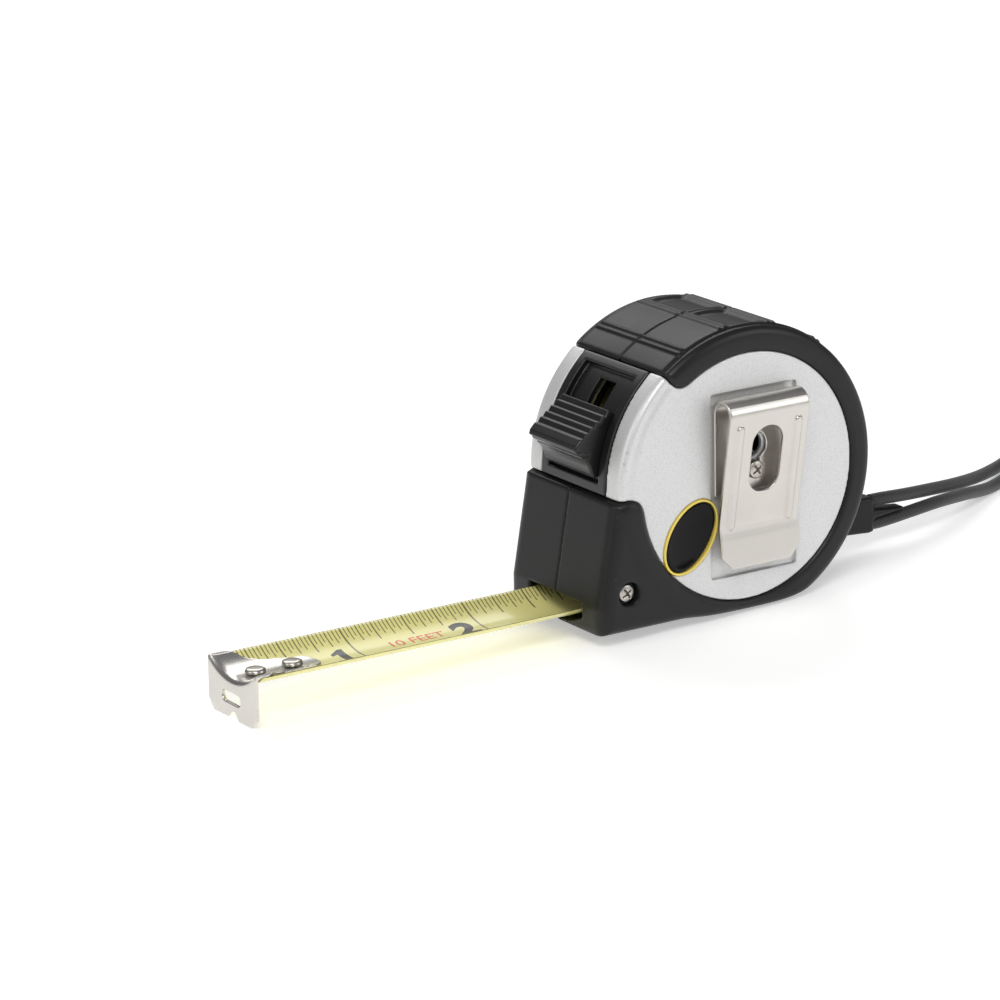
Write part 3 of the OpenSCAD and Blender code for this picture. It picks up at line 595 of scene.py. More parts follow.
def make_finishes():
    scene = bpy.context.scene
    case, blade, strap = scene.tape_case, scene.tape_blade, scene.tape_strap
    GROUPS["grain"] = make_moulded_grain()
    GROUPS["wear"] = make_edge_wear()
    GROUPS["brush"] = make_brush_lines()
    FINISH["bumper"] = moulded("Bumper rubber", tuple(case.bumper_colour), 0.38, grain=3200.0, relief=0.28,
                               wear=0.25, Specular_IOR_Level=0.3)
    FINISH["panel"] = moulded("Lock plastic", (0.006, 0.006, 0.006), 0.3, grain=2600.0, relief=0.14, wear=0.3)
    # painted shade: the reel's drum and cover are painted near black to stand in for the shade inside the
    # case seen through the clip's keyhole
    FINISH["reel"] = moulded("Reel plastic darkened as shade", (0.02, 0.03, 0.032), 0.4, grain=2600.0, relief=0.1, wear=0.1)
    FINISH["natural"] = moulded("Natural plastic", (0.72, 0.71, 0.66), 0.4, grain=2400.0, relief=0.1,
                                wear=0.1)
    FINISH["tab"] = moulded("Tab plastic", (0.004, 0.004, 0.004), 0.42, grain=2400.0, relief=0.2, wear=0.3,
                            Specular_IOR_Level=0.3)
    FINISH["button"] = moulded("Gloss button", (0.0015, 0.0015, 0.0015), 0.1, grain=1500.0, relief=0.02,
                               wear=0.1, spread=0.05, Specular_IOR_Level=0.16)
    FINISH["ring"] = moulded("Yellow ring", (0.80, 0.62, 0.12), 0.3, grain=2400.0, relief=0.08, wear=0.15)
    FINISH["silver"] = flake_paint("Silver paint", tuple(case.shell_colour), 0.44)
    FINISH["clip"] = plated("Clip steel", (0.69, 0.66, 0.615), 0.29, stretch=(9000.0, 9000.0, 150.0))
    FINISH["hook"] = plated("Hook nickel", (0.72, 0.695, 0.65), 0.24, stretch=(300.0, 7000.0, 7000.0),
                            relief=0.05)
    FINISH["screw"] = plated("Screw nickel", (0.58, 0.55, 0.50), 0.28, stretch=(5000.0, 5000.0, 5000.0),
                             relief=0.1)
    FINISH["spring"] = plated("Spring steel", (0.36, 0.37, 0.40), 0.3, stretch=(400.0, 8000.0, 400.0))
    FINISH["blade"] = blade_paint("Blade enamel", tuple(blade.paint), True)
    FINISH["feed"] = blade_paint("Blade inside", tuple(blade.paint), False)
    FINISH["black ink"] = printed_ink("Black ink", (0.02, 0.02, 0.018))
    FINISH["red ink"] = printed_ink("Red ink", (0.55, 0.06, 0.025))
    FINISH["cord"] = braid("Braided cord", tuple(strap.colour))
    FINISH["coil"] = wound_edges("Wound blade")


# ---------- case shapes shared by the mouldings ----------


def about_axis(block):
    """Distance from the case's axis, and the angle about it in degrees."""
    up = block.z - CASE_Z
    return np.hypot(block.x, up), np.degrees(np.arctan2(up, block.x)) % 360.0


def below_ray(block, angle):
    """Less than zero on the mouth's side of a ray from the case's axis."""
    a = math.radians(angle)
    return block.x * math.sin(a) - (block.z - CASE_Z) * math.cos(a)


def silver_region(block):
    """Where the silver shell shows between the bumpers, as a distance in x and z."""
    disc = np.hypot(block.x, block.z - CASE_Z) - 22.7
    wedge = meet(below_ray(block, RIM_FROM), NOSE_TOP + 0.15 - block.z)
    return join(disc, wedge, 3.2)


def case_body(block):
    """The outside of the bumpers for one side, y measured outwards from the middle."""
    case = bpy.context.scene.tape_case
    x, y, z = block.x, block.y, block.z
    rho, angle = about_axis(block)
    angle = np.where(angle > 270, angle - 360, angle)
    rise = np.zeros_like(rho)
    for at in GRIP_RIBS:
        for side in (-1.25, 1.25):
            rise = rise + bump(angle, at + side, 0.62)
    inner_edge = soft_step((13.15 - y) / 0.9)
    rise = rise * case.rib / MM * inner_edge
    scoop = np.zeros_like(rho)
    for low, high in zip(GRIP_RIBS[:-2], GRIP_RIBS[1:-1]):
        t = np.minimum(angle - low - 2.2, high - 2.2 - angle) / 3.5
        scoop = np.maximum(scoop, soft_step(t))
    scoop = scoop * soft_step((12.3 - y) / 1.6) * soft_step((y - 0.7) / 1.4) * case.scoop / MM
    in_grip = soft_step((angle + 64) / 6) * soft_step((128.5 - angle) / 1.0)
    groove = 0.38 * bump(y, 13.35, 0.34) * in_grip
    radius = CASE_R + rise - scoop - groove
    grip = meet(rho - radius, y - 15.15, 2.6)
    nose = outline(x, z, [(-28.3, 24.5), (-NOSE_X, MOUTH_TOP), (-NOSE_X, 0.0), (-2.0, 0.0), (-2.0, 24.5)])
    nose = meet(nose, y - 15.1, 2.9)
    body = join(grip, nose, 0.8)
    return meet(body, -z, 1.9), rho


def mouth(block):
    x, y, z = block.x, block.y, block.z
    lip = 17.65
    opening = np.maximum(np.hypot(y, z - 0.9 - lip) - lip, z - MOUTH_TOP)
    opening = np.maximum(np.maximum(opening, y - MOUTH_HALF), x + 23.5)
    channel = np.maximum(band(x, -24.5, -6.0), np.maximum(y - MOUTH_HALF, band(z, 0.95, MOUTH_TOP)))
    return np.minimum(opening, channel)


def nose_room(block):
    return outline(block.x, block.z,
                   [(-26.5, 25.5), (-29.8, 6.55), (-28.8, 5.55), (-6.0, 5.55), (-6.0, 25.5)])


def strap_slot(block):
    return np.maximum(block.y - 2.2,
                      outline(block.x, block.z, [(15.6, 6.3), (30.6, 3.1), (32.6, 12.9), (15.6, 12.3)]))


def bumper_distance(block, screw):
    body, rho = case_body(block)
    x, y, z = block.x, block.y, block.z
    body = meet(body, 0.03 - y, 0.35)
    body = cut(body, silver_region(block), 1.1)
    body = cut(body, np.maximum(np.maximum(rho - 25.3, y - 13.85), 0.75 - z))
    body = cut(body, np.maximum(nose_room(block), y - 12.0))
    body = cut(body, mouth(block), 0.3)
    body = cut(body, strap_slot(block), 0.3)
    if screw:
        off = np.hypot(x - NOSE_SCREW[0], z - NOSE_SCREW[1])
        body = cut(body, np.maximum(off - 2.15, 13.3 - y), 0.4)
        body = cut(body, np.maximum(off - 1.1, 8.0 - y))
    return body


def mirrored(mesh):
    """The same mesh on the other side of the middle plane, facing outwards again."""
    mesh.transform(Matrix.Diagonal((1, -1, 1, 1)))
    mesh.flip_normals()


def shell_distance(block, clip_side):
    """One silver shell, y measured outwards: face, bare rim beside the lock, wall behind the bumper."""
    x, y, z = block.x, block.y, block.z
    rho = np.hypot(x, z - CASE_Z)
    silver = silver_region(block) + 0.07
    face = 14.78 - 0.3 * bump(rho, 25.7, 0.75)
    shown = meet(meet(rho - 27.45, y - face, 2.0), silver, 0.25)
    shown = np.maximum(shown, np.minimum(12.95 - y, np.maximum(25.3 - rho, 10.22 - y)))
    front = outline(x, z,
                    [(-60.0, 0.5), (-8.0, 0.5), (-8.0, 5.55), (-14.0, 14.0), (-18.5, 24.5), (-60.0, 24.5)])
    wall = np.maximum(np.maximum(band(rho, 23.5, 25.2), y - 13.4), 0.05 - y)
    lock_way = np.maximum(np.maximum(below_ray(block, LOCK_WAY_FROM), 23.5 - z), y - 4.3)
    wall = np.maximum(wall, -np.maximum(front, y - 12.0))
    wall = np.maximum(wall, -lock_way)
    side = np.maximum(rho - 25.2, band(y, 12.95, 13.78))
    shell = np.maximum(np.minimum(shown, np.minimum(wall, side)), 0.8 - z)
    shell = cut(shell, strap_slot(block))
    if clip_side:
        pocket = np.maximum(np.maximum(band(x, -7.9, 10.5), band(z, 7.0, 40.85)), 14.0 - y)
        shell = cut(shell, pocket, 0.2)
        shell = cut(shell, oval(x, z, BUTTON, BUTTON_LONG + 1.3, BUTTON_WIDE + 1.3, BUTTON_TURN) + 0 * y,
                    0.25)
        shell = cut(shell, np.hypot(x - REEL[0], z - REEL[1]) - 1.1 + 0 * y)
        shell = cut(shell, np.hypot(x - REEL[0], z - KEYHOLE[0]) - KEYHOLE[1] + 0 * y, 0.2)
    return shell


def lock_panel_distance(block):
    y = np.abs(block.y)
    rho, angle = about_axis(block)
    ends = np.maximum(below_ray(block, RIM_FROM + 0.3), NOSE_TOP + 0.25 - block.z)
    panel = meet(meet(band(rho, 25.35, 27.62), y - 9.98, 0.4), ends, 0.4)
    arc = rho * math.pi / 180
    recess = np.maximum(np.maximum(26.45 - rho, y - 7.75), band(angle, 134.1, 176.2) * arc)
    slot = np.maximum(y - 2.5, band(angle, 138.1, 172.2) * arc)
    return cut(cut(panel, recess, 0.3), slot, 0.2)


def slider_distance(block):
    """The lock's thumb piece: four steps up to a proud nose, hollow below it."""
    steps = [(149.6, 28.7), (152, 28.85), (152.2, 29.35), (154.6, 29.5), (154.8, 30.0), (157, 30.2),
             (157.2, 30.7), (159.2, 30.95), (159.4, 31.45), (161.4, 31.7), (161.6, 32.3), (164, 33.0),
             (165.5, 33.0), (166.4, 32.2), (167.6, 31.1), (168.8, 30.2), (170.2, 29.5), (171.8, 29.0),
             (172.6, 28.9), (174.2, 28.2)]
    shape = [polar(a, r) for a, r in steps] + [polar(a, 26.51) for a in np.linspace(174.2, 149.6, 14)]
    side = outline(block.x, block.z, shape)
    body = meet(side, np.abs(block.y) - 7.45, 0.5)
    # thin lines across the proud nose
    rho, angle = about_axis(block)
    lines = sum(bump(angle, at, 0.25) for at in (165.9, 167.3)) * soft_step((rho - 29.5) / 0.5)
    stem = np.maximum(np.maximum(band(rho, 24.4, 27.0), band(angle, 161.6, 166.6) * rho * math.pi / 180),
                      np.abs(block.y) - 2.3)
    return np.minimum(body + 0.14 * lines, stem)


def button_distance(block):
    x, y, z = block.x, -block.y, block.z
    plan = oval(x, z, BUTTON, BUTTON_LONG, BUTTON_WIDE, BUTTON_TURN)
    cap = meet(plan + 0 * y, band(y, 12.8, 15.55), 0.6)
    dish = np.sqrt((x - BUTTON[0]) ** 2 + (y - 15.55 - 20.6) ** 2 + (z - BUTTON[1]) ** 2) - 22.0
    cap = cut(cap, dish, 0.5)
    flange = np.maximum(plan - 1.0, band(y, 12.45, 12.95))
    stem = np.maximum(np.hypot(x - BUTTON[0], z - BUTTON[1]) - 1.6, band(y, 11.9, 12.9))
    return np.minimum(cap, np.minimum(flange, stem))


def ring_distance(block):
    plan = oval(block.x, block.z, BUTTON, BUTTON_LONG, BUTTON_WIDE, BUTTON_TURN)
    return meet(band(plan, 0.18, 0.62) + 0 * block.y, band(-block.y, 13.0, 15.06), 0.2)


def clip_distance(block):
    """One bent sheet: plate in the pocket, rolled top, long leaf with pressed ribs, and a flared end."""
    clip = bpy.context.scene.tape_clip
    x, y, z = block.x - REEL[0], block.y, block.z
    bend = [(-16.95 + 2.5 * math.cos(t), 37.5 + 2.5 * math.sin(t)) for t in np.linspace(0, math.pi, 15)]
    line = [(-14.45, 22.6)] + bend + [(-16.15, 18.6), (-15.95, 17.4), (-15.9, 16.6), (-16.0, 15.6),
                                      (-16.22, 14.2), (-16.9, 8.9)]
    pressed = sum(1 - soft_step(lozenge(z, x, (26.0, at), 19.0, 0.9) / 0.55) for at in (-6.3, 6.3))
    lifted = y + pressed * clip.rib / MM * soft_step((-15.2 - y) / 0.2)
    sheet = path_distance(lifted, z, line) - clip.sheet / MM / 2
    sheet = meet(sheet, np.abs(x) - clip.width / MM / 2, 0.22)
    corner = (np.abs(x) - clip.width / MM / 2 - z + 8.9 + 2.4) / math.sqrt(2)
    sheet = meet(sheet, np.maximum(corner, 8.95 - z) + 0 * y, 0.4)
    leaf_only = y + 15.25
    window = np.maximum(lozenge(z, x, (28.8, 0.1), 12.5, 6.6), leaf_only)
    sheet = cut(sheet, window, 0.25)
    hole = np.minimum(np.hypot(x, z - 30.4) - 2.6, np.maximum(np.abs(x) - 1.15, band(z, 25.0, 30.4)))
    hole = np.minimum(hole, np.hypot(x, z - 26.1) - 1.15)
    return cut(sheet, np.maximum(hole, -leaf_only), 0.15)


def hook_distance(block):
    """End hook: a plate hanging at the blade's end and a tongue that lies in the blade's hollow."""
    x, y, z = block.x, block.y, block.z
    rr = np.hypot(y, z - (BLADE_Z + BLADE_ARC))
    top = BLADE_ARC - 0.19 - HOOK_T
    back = ZERO_X - HOOK_T
    plate_2d = outline(y, z,
                       [(-8.1, -2.95), (-6.4, -4.65), (-2.0, -4.65), (-0.8, -3.4), (0.8, -3.4), (2.0, -4.65),
                        (6.4, -4.65), (8.1, -2.95), (8.1, 4.8), (-8.1, 4.8)])
    plate_2d = np.maximum(plate_2d, top - rr)
    plate_2d = cut(plate_2d, lozenge(y, z, (0.3, -1.0), 6.3, 1.9), 0.15)
    plate = meet(plate_2d, band(x, back, ZERO_X), 0.3)
    u = x - ZERO_X
    tongue_2d = outline(u, y, [(-0.8, -8.1), (2.2, -8.1), (3.4, -7.3), (5.2, -5.4), (7.4, -4.3), (13.6, -3.0),
                               (13.6, 3.0), (7.4, 4.3), (5.2, 5.4), (3.4, 7.3), (2.2, 8.1), (-0.8, 8.1)])
    tongue_2d = join(tongue_2d, np.hypot(u - 13.6, y) - 3.0, 0.4)
    tongue = meet(tongue_2d + 0 * z, np.abs(rr - top - HOOK_T / 2) - HOOK_T / 2, 0.3)
    tongue = np.maximum(tongue, z - 4.8)
    body = np.minimum(plate, tongue)
    return meet(body, meet(back - x, top - rr, 1.6), 0.05)


def tab_distance(block):
    shape = [(17.0, 11.0), (17.0, 7.7), (26.0, 5.2), (37.2, 4.4), (38.2, 4.6), (38.2, 6.75), (38.6, 7.0),
             (45.4, 7.75), (45.4, 8.1), (38.6, 8.8), (38.2, 9.05), (38.2, 11.15), (37.2, 11.35),
             (30.0, 11.55)]
    side = outline(block.x, block.z, shape)
    return meet(side, np.abs(block.y) - 2.0, 1.0)


def screw_distance(block):
    """Pan head with a cross recess and a short shank, axis along y, outer face towards -y, seat at y = 0."""
    x, y, z = block.x, block.y, block.z
    r = np.hypot(x, z)
    dome = np.sqrt(x * x + z * z + (y - 3.1) ** 2) - 4.22
    head = meet(np.maximum(r - 1.68, y), dome, 0.3)
    cross = None
    for turn in (0.6, 0.6 + math.pi / 2):
        c, s = math.cos(turn), math.sin(turn)
        a, b = x * c + z * s, -x * s + z * c
        arm = np.maximum(np.abs(a) - 1.15, np.abs(b) - 0.25) + (y + 1.2) * 0.25
        cross = arm if cross is None else join(cross, arm, 0.15)
    head = cut(head, np.maximum(cross, y + 0.25), 0.08)
    return np.minimum(head, np.maximum(r - 0.97, band(y, -0.3, 7.5)))


# ---------- pieces made in other ways ----------


def blade_height(y, lift=0.0):
    """Height of the blade's hollow section, or of a skin lifted off it."""
    r = BLADE_ARC - lift
    return BLADE_Z + BLADE_ARC - math.sqrt(r * r - y * y)


def blade_mesh():
    """The blade's visible stretch: a thin closed strip with a hollow section."""
    blade = bpy.context.scene.tape_blade
    half, thick = blade.width / MM / 2, blade.thickness / MM
    xs = np.linspace(ZERO_X + HOOK_T + 0.1, ROOT_X, 166)
    ys = np.linspace(-half, half, 41)
    points, faces = [], []
    for lift in (thick, 0.0):
        for x in xs:
            for y in ys:
                points.append((x, y, blade_height(y, lift)))
    n, m = len(xs), len(ys)

    def at(side, i, j):
        return (side * n + i) * m + j

    for i in range(n - 1):
        for j in range(m - 1):
            faces.append((at(0, i, j), at(0, i + 1, j), at(0, i + 1, j + 1), at(0, i, j + 1)))
            faces.append((at(1, i, j), at(1, i, j + 1), at(1, i + 1, j + 1), at(1, i + 1, j)))
        for j in (0, m - 1):
            faces.append((at(0, i, j), at(1, i, j), at(1, i + 1, j), at(0, i + 1, j)))
    for i in (0, n - 1):
        for j in range(m - 1):
            faces.append((at(0, i, j), at(0, i, j + 1), at(1, i, j + 1), at(1, i, j)))
    mesh = mesh_from("Blade", points, faces)
    outward(mesh)
    mesh.shade_smooth()
    place = np.array([v.co.x for v in mesh.vertices], dtype=np.float32)
    share = np.clip((ROOT_X * MM - place) / 0.036, 0, 1)
    for title, values in (("rest_x", place), ("share", share * share * (3 - 2 * share))):
        mesh.attributes.new(title, "FLOAT", "POINT").data.foreach_set("value", values.astype(np.float32))
    return mesh


def printed_mesh(name, text, place, height, width_scale=1.0, weight=0.0):
    """Figures laid on the blade's hollow face, reading along the blade."""
    if text == "1":
        return laid_on_blade(name, figure_one(height), place)
    curve = bpy.data.curves.new(name, "FONT")
    curve.body = text
    curve.size = height * 1.38
    curve.align_x = "CENTER"
    curve.offset = weight
    curve.resolution_u = 5
    made = bpy.data.objects.new(name, curve)
    bpy.context.scene.collection.objects.link(made)
    bpy.context.view_layer.update()
    mesh = bpy.data.meshes.new_from_object(made)
    bpy.data.objects.remove(made)
    bpy.data.curves.remove(curve)
    for v in mesh.vertices:
        v.co.x *= width_scale
    return laid_on_blade(name, mesh, place)


def figure_one(height):
    """A bold one with a flag and a foot."""
    k = height / 4.6
    foot = [(-1.9, 0), (1.9, 0), (1.9, 0.75), (0.75, 0.75), (-0.65, 0.75), (-1.9, 0.75)]
    stem = [(0.75, 4.6), (-0.1, 4.6), (-1.7, 3.6), (-1.7, 2.95), (-0.65, 3.3)]
    points = [(u * k, v * k, 0) for u, v in foot + stem]
    mesh = bpy.data.meshes.new("Figure one")
    mesh.from_pydata(points, [], [(0, 1, 2, 3, 4, 5), (3, 6, 7, 10, 4), (7, 8, 9, 10)])
    return mesh


def laid_on_blade(name, mesh, place):
    """Flat artwork in millimetres set at a place and laid on the blade's hollow face."""
    bm = bmesh.new()
    bm.from_mesh(mesh)
    low = min(v.co.y for v in bm.verts)
    height = max(v.co.y for v in bm.verts) - low
    for v in bm.verts:
        v.co.x += place[0]
        v.co.y += place[1] - low
    y = place[1] + 0.3
    while y < place[1] + height:
        bmesh.ops.bisect_plane(bm, geom=bm.verts[:] + bm.edges[:] + bm.faces[:], plane_co=(0, y, 0),
                               plane_no=(0, 1, 0))
        y += 0.3
    for v in bm.verts:
        v.co = (v.co.x * MM, v.co.y * MM, (blade_height(v.co.y, BLADE_T) + 0.012) * MM)
    bmesh.ops.remove_doubles(bm, verts=bm.verts, dist=1e-7)
    for face in bm.faces:
        face.normal_update()
        if face.normal.z < 0:
            face.normal_flip()
    bm.to_mesh(mesh)
    bm.free()
    mesh.name = name
    mesh.update()
    return mesh


def lathe_mesh(name, profile, segments=40):
    """A turned solid about z from (radius, z) points, closed at both ends."""
    points, faces = [], []
    for r, z in profile:
        for k in range(segments):
            t = 2 * math.pi * k / segments
            points.append((r * math.cos(t), r * math.sin(t), z))
    for i in range(len(profile) - 1):
        for k in range(segments):
            n = (k + 1) % segments
            faces.append((i * segments + k, i * segments + n, (i + 1) * segments + n, (i + 1) * segments + k))
    faces.append(tuple(range(segments - 1, -1, -1)))
    last = (len(profile) - 1) * segments
    faces.append(tuple(range(last, last + segments)))
    mesh = mesh_from(name, points, faces)
    outward(mesh)
    mesh.shade_smooth()
    return mesh


def make_point_setter():
    """Geometry nodes: sets a copy of a source on every point, as real faces in one finish."""
    tree = bpy.data.node_groups.new("Set on points", "GeometryNodeTree")
    sockets = {}
    for title, kind in (("Points", "NodeSocketGeometry"), ("Source", "NodeSocketObject"),
                        ("Scale", "NodeSocketFloat"), ("Finish", "NodeSocketMaterial")):
        sockets[title] = tree.interface.new_socket(title, in_out="INPUT", socket_type=kind).identifier
    tree.interface.new_socket("Geometry", in_out="OUTPUT", socket_type="NodeSocketGeometry")
    start = tree.nodes.new("NodeGroupInput")
    end = tree.nodes.new("NodeGroupOutput")
    source = tree.nodes.new("GeometryNodeObjectInfo")
    setter = tree.nodes.new("GeometryNodeInstanceOnPoints")
    real = tree.nodes.new("GeometryNodeRealizeInstances")
    paint = tree.nodes.new("GeometryNodeSetMaterial")
    link = tree.links.new
    link(start.outputs["Points"], setter.inputs["Points"])
    link(start.outputs["Source"], source.inputs["Object"])
    link(source.outputs["Geometry"], setter.inputs["Instance"])
    link(start.outputs["Scale"], setter.inputs["Scale"])
    link(setter.outputs["Instances"], real.inputs["Geometry"])
    link(real.outputs["Geometry"], paint.inputs["Geometry"])
    link(start.outputs["Finish"], paint.inputs["Material"])
    link(paint.outputs["Geometry"], end.inputs["Geometry"])
    return tree, sockets


def set_on_points(name, source_mesh, places, finish, body, nodes):
    """Copies of a small mesh at some places, baked to one plain mesh."""
    tree, sockets = make_point_setter()
    source = bpy.data.objects.new(name + " source", source_mesh)
    bpy.context.scene.collection.objects.link(source)
    holder = bpy.data.objects.new(name + " points", mesh_from(name + " points", places, []))
    bpy.context.scene.collection.objects.link(holder)
    modifier = holder.modifiers.new("Set", "NODES")
    modifier.node_group = tree
    modifier[sockets["Source"]] = source
    modifier[sockets["Scale"]] = 1.0
    modifier[sockets["Finish"]] = finish
    bpy.context.view_layer.update()
    shown = holder.evaluated_get(bpy.context.evaluated_depsgraph_get())
    mesh = bpy.data.meshes.new_from_object(shown)
    bpy.data.objects.remove(holder)
    bpy.data.objects.remove(source)
    mesh.name = name
    mesh.shade_smooth()
    return piece(name, mesh, body, nodes, finish)


STRAP_ROUTE = [(38.3, 0, 10.15), (41.5, 0, 10.1), (47.5, 1.1, 9.5), (55, 3.6, 8.5), (64, 7.4, 7.1),
               (74, 12.8, 5.5), (83, 18, 4.6), (92, 22.4, 4.8), (102, 25, 5.2), (112, 24.6, 5.6),
               (120.6, 20.6, 6), (127, 13, 6.2), (129.6, 3.8, 6.4), (127.6, -5.8, 6.3), (121.6, -13.6, 6),
               (113.6, -18, 5.7), (105.4, -18.2, 5.3), (101.4, -13.4, 5.1), (104.2, -8.2, 5.3),
               (110.4, -7.6, 5.5), (117, -6.6, 5.8), (122.2, -2, 6), (124.6, 4, 6.1), (122.8, 11, 6),
               (117.6, 17, 5.8), (110.8, 20.4, 5.5), (102.4, 20.8, 5.2), (93.4, 18.2, 4.8), (84.4, 14, 4.4),
               (75, 9.8, 4), (65, 5.1, 5.5), (56, 1.6, 6.5), (48, 0.2, 6.3), (41.5, 0, 5.75), (38.3, 0, 5.65)]


def strap_line(parts):
    """The strap's middle line, smooth through its route points."""
    p = np.array(STRAP_ROUTE, dtype=float)
    line = []
    for i in range(len(p) - 1):
        a, b, c, d = p[max(i - 1, 0)], p[i], p[i + 1], p[min(i + 2, len(p) - 1)]
        for k in range(parts):
            t = k / parts
            line.append(0.5 * (2 * b + (c - a) * t + (2 * a - 5 * b + 4 * c - d) * t * t
                               + (3 * b - a - 3 * c + d) * t ** 3))
    line.append(p[-1])
    return np.array(line)


def strap_mesh(line, radius, around=20):
    """A round cord along a line, with a map of its turn and length for the braid."""
    tangent = np.gradient(line, axis=0)
    tangent /= np.linalg.norm(tangent, axis=1)[:, None]
    side = np.cross(tangent, [0, 0, 1])
    side /= np.linalg.norm(side, axis=1)[:, None]
    up = np.cross(side, tangent)
    run = np.concatenate([[0], np.cumsum(np.linalg.norm(np.diff(line, axis=0), axis=1))])
    points, faces, maps = [], [], []
    for i in range(len(line)):
        for k in range(around):
            t = 2 * math.pi * k / around
            points.append(line[i] + radius * (math.cos(t) * side[i] + math.sin(t) * up[i]))
    for i in range(len(line) - 1):
        for k in range(around):
            n = (k + 1) % around
            faces.append((i * around + k, i * around + n, (i + 1) * around + n, (i + 1) * around + k))
            v0, v1 = run[i] / (2 * math.pi * radius), run[i + 1] / (2 * math.pi * radius)
            maps += [(k / around, v0), ((k + 1) / around, v0), ((k + 1) / around, v1), (k / around, v1)]
    for i, turn in ((0, range(around - 1, -1, -1)), (len(line) - 1, range(around))):
        faces.append(tuple(i * around + k for k in turn))
        maps += [(0.5, 0.5)] * around
    mesh = mesh_from("Wrist strap", points, faces)
    layer = mesh.uv_layers.new(name="cord")
    layer.data.foreach_set("uv", np.array(maps, dtype=np.float32).ravel())
    mesh.shade_smooth()
    return mesh, float(run[-1])


# ---------- one operator for each piece or group of like pieces ----------


class TAPE_OT_stage(bpy.types.Operator):
    """Sets the camera, the lights and the pale floor"""

    bl_idname = "tape.stage"
    bl_label = "Stage"

    def execute(self, context):
        stage = context.scene.tape_stage
        scene = context.scene
        scene.view_settings.view_transform = "Standard"
        camera = bpy.data.objects.new("Camera", bpy.data.cameras.new("Camera"))
        scene.collection.objects.link(camera)
        camera.data.lens = 164.83
        camera.data.sensor_width = 36.0
        camera.data.dof.use_dof = False
        camera.data.clip_start = 0.01
        az, el, roll = stage.azimuth, stage.elevation, math.radians(-1.08)
        back = Vector((math.sin(az) * math.cos(el), -math.cos(az) * math.cos(el), math.sin(el)))
        level = Vector((math.cos(az), math.sin(az), 0))
        right = level * math.cos(roll) + back.cross(level) * math.sin(roll)
        turn = Matrix((right, back.cross(right), back)).transposed().to_4x4()
        looked_at = Vector((-0.0429, 0.0, 0.02457))
        camera.matrix_world = Matrix.Translation(looked_at + back * stage.distance) @ turn
        scene.camera = camera

        # the floor rises along x and meets the base's rear edge and the hook's foot
        slope, touch = 0.0425, 0.0117
        size = 12.0
        plan = ((-size, -size), (size, -size), (size, size), (-size, size))
        corners = [(x / MM, y / MM, (x - touch) * slope / MM) for x, y in plan]
        floor = bpy.data.objects.new("Floor", mesh_from("Floor", corners, [(0, 1, 2, 3)]))
        scene.collection.objects.link(floor)
        material, tree, shader = new_material("Pale floor")
        base = place_group(tree, GROUPS["grain"], Grain=900.0, Cloud=6.0)
        tone = mix_colour(tree, base.outputs["Cloud"], (0.80, 0.80, 0.80), (0.83, 0.83, 0.83))
        coat(tree, shader, tone, maths(tree, "MULTIPLY_ADD", base.outputs["Cloud"], 0.1, 0.5))
        tree.links.new(tone, shader.inputs["Emission Color"])
        shader.inputs["Emission Strength"].default_value = 0.52
        floor.data.materials.append(material)

        # name, position, aim, size, power, colour
        for name, place, aim, width, height, power, colour in (
                ("Key", (-0.55, -0.75, 1.05), (-0.03, 0, 0.02), 0.6, 0.5, 19.0, (1.0, 0.985, 0.96)),
                ("Fill", (0.75, -0.85, 0.55), (0, 0, 0.02), 0.7, 0.5, 7.5, (0.98, 0.99, 1.0)),
                ("Rear", (0.25, 0.95, 0.95), (-0.02, 0, 0.02), 1.2, 0.6, 15.0, (1.0, 1.0, 1.0)),
                ("Front strip", (-1.0, 0.05, 0.5), (-0.04, 0, 0.03), 0.3, 0.8, 5.0, (1.0, 1.0, 1.0))):
            lamp = bpy.data.lights.new(name, "AREA")
            lamp.shape = "RECTANGLE"
            lamp.size, lamp.size_y = width, height
            lamp.energy = power * stage.light
            lamp.color = colour
            made = bpy.data.objects.new(name, lamp)
            made.location = place
            made.rotation_euler = (Vector(aim) - Vector(place)).to_track_quat("-Z", "Y").to_euler()
            scene.collection.objects.link(made)
        world = bpy.data.worlds.new("Studio")
        world.use_nodes = True
        tree = world.node_tree
        sky = tree.nodes["Background"]
        up = split(tree, node(tree, "ShaderNodeTexCoord").outputs["Generated"])[2]
        rise = maths(tree, "MULTIPLY_ADD", up, 0.5, 0.5, clamp=True)
        tree.links.new(mix_colour(tree, rise, (0.55, 0.55, 0.56), (0.95, 0.96, 1.0)), sky.inputs[0])
        sky.inputs[1].default_value = 0.5 * stage.light
        scene.world = world
        return {"FINISHED"}


class TAPE_OT_strap(bpy.types.Operator):
    """Lays the braided wrist strap out of the tab, round a loop and back into it"""

    bl_idname = "tape.strap"
    bl_label = "Wrist strap"

    def execute(self, context):
        thickness = context.scene.tape_strap.thickness
        line = strap_line(8)
        mesh, length = strap_mesh(line, thickness / MM / 2)
        strap = piece("Wrist_strap", mesh, "case", ("wrist_strap",), FINISH["cord"])
        return {"FINISHED"}


class TAPE_OT_bumpers(bpy.types.Operator):
    """Shapes the two black bumpers, with grip ribs, scooped panels and the blade's mouth"""

    bl_idname = "tape.bumpers"
    bl_label = "Bumpers"

    def execute(self, context):
        block = Block((-32.3, -0.1, -0.1), (28.5, 15.4, 53.0), context.scene.tape_case.cell / MM)
        skin("Bumper_far_side", block, bumper_distance(block, False), "case",
             ("bumper_far_side",), FINISH["bumper"])
        made = skin("Bumper_clip_side", block, bumper_distance(block, True), "case",
                    ("bumper_clip_side",), FINISH["bumper"])
        mirrored(made.data)
        return {"FINISHED"}


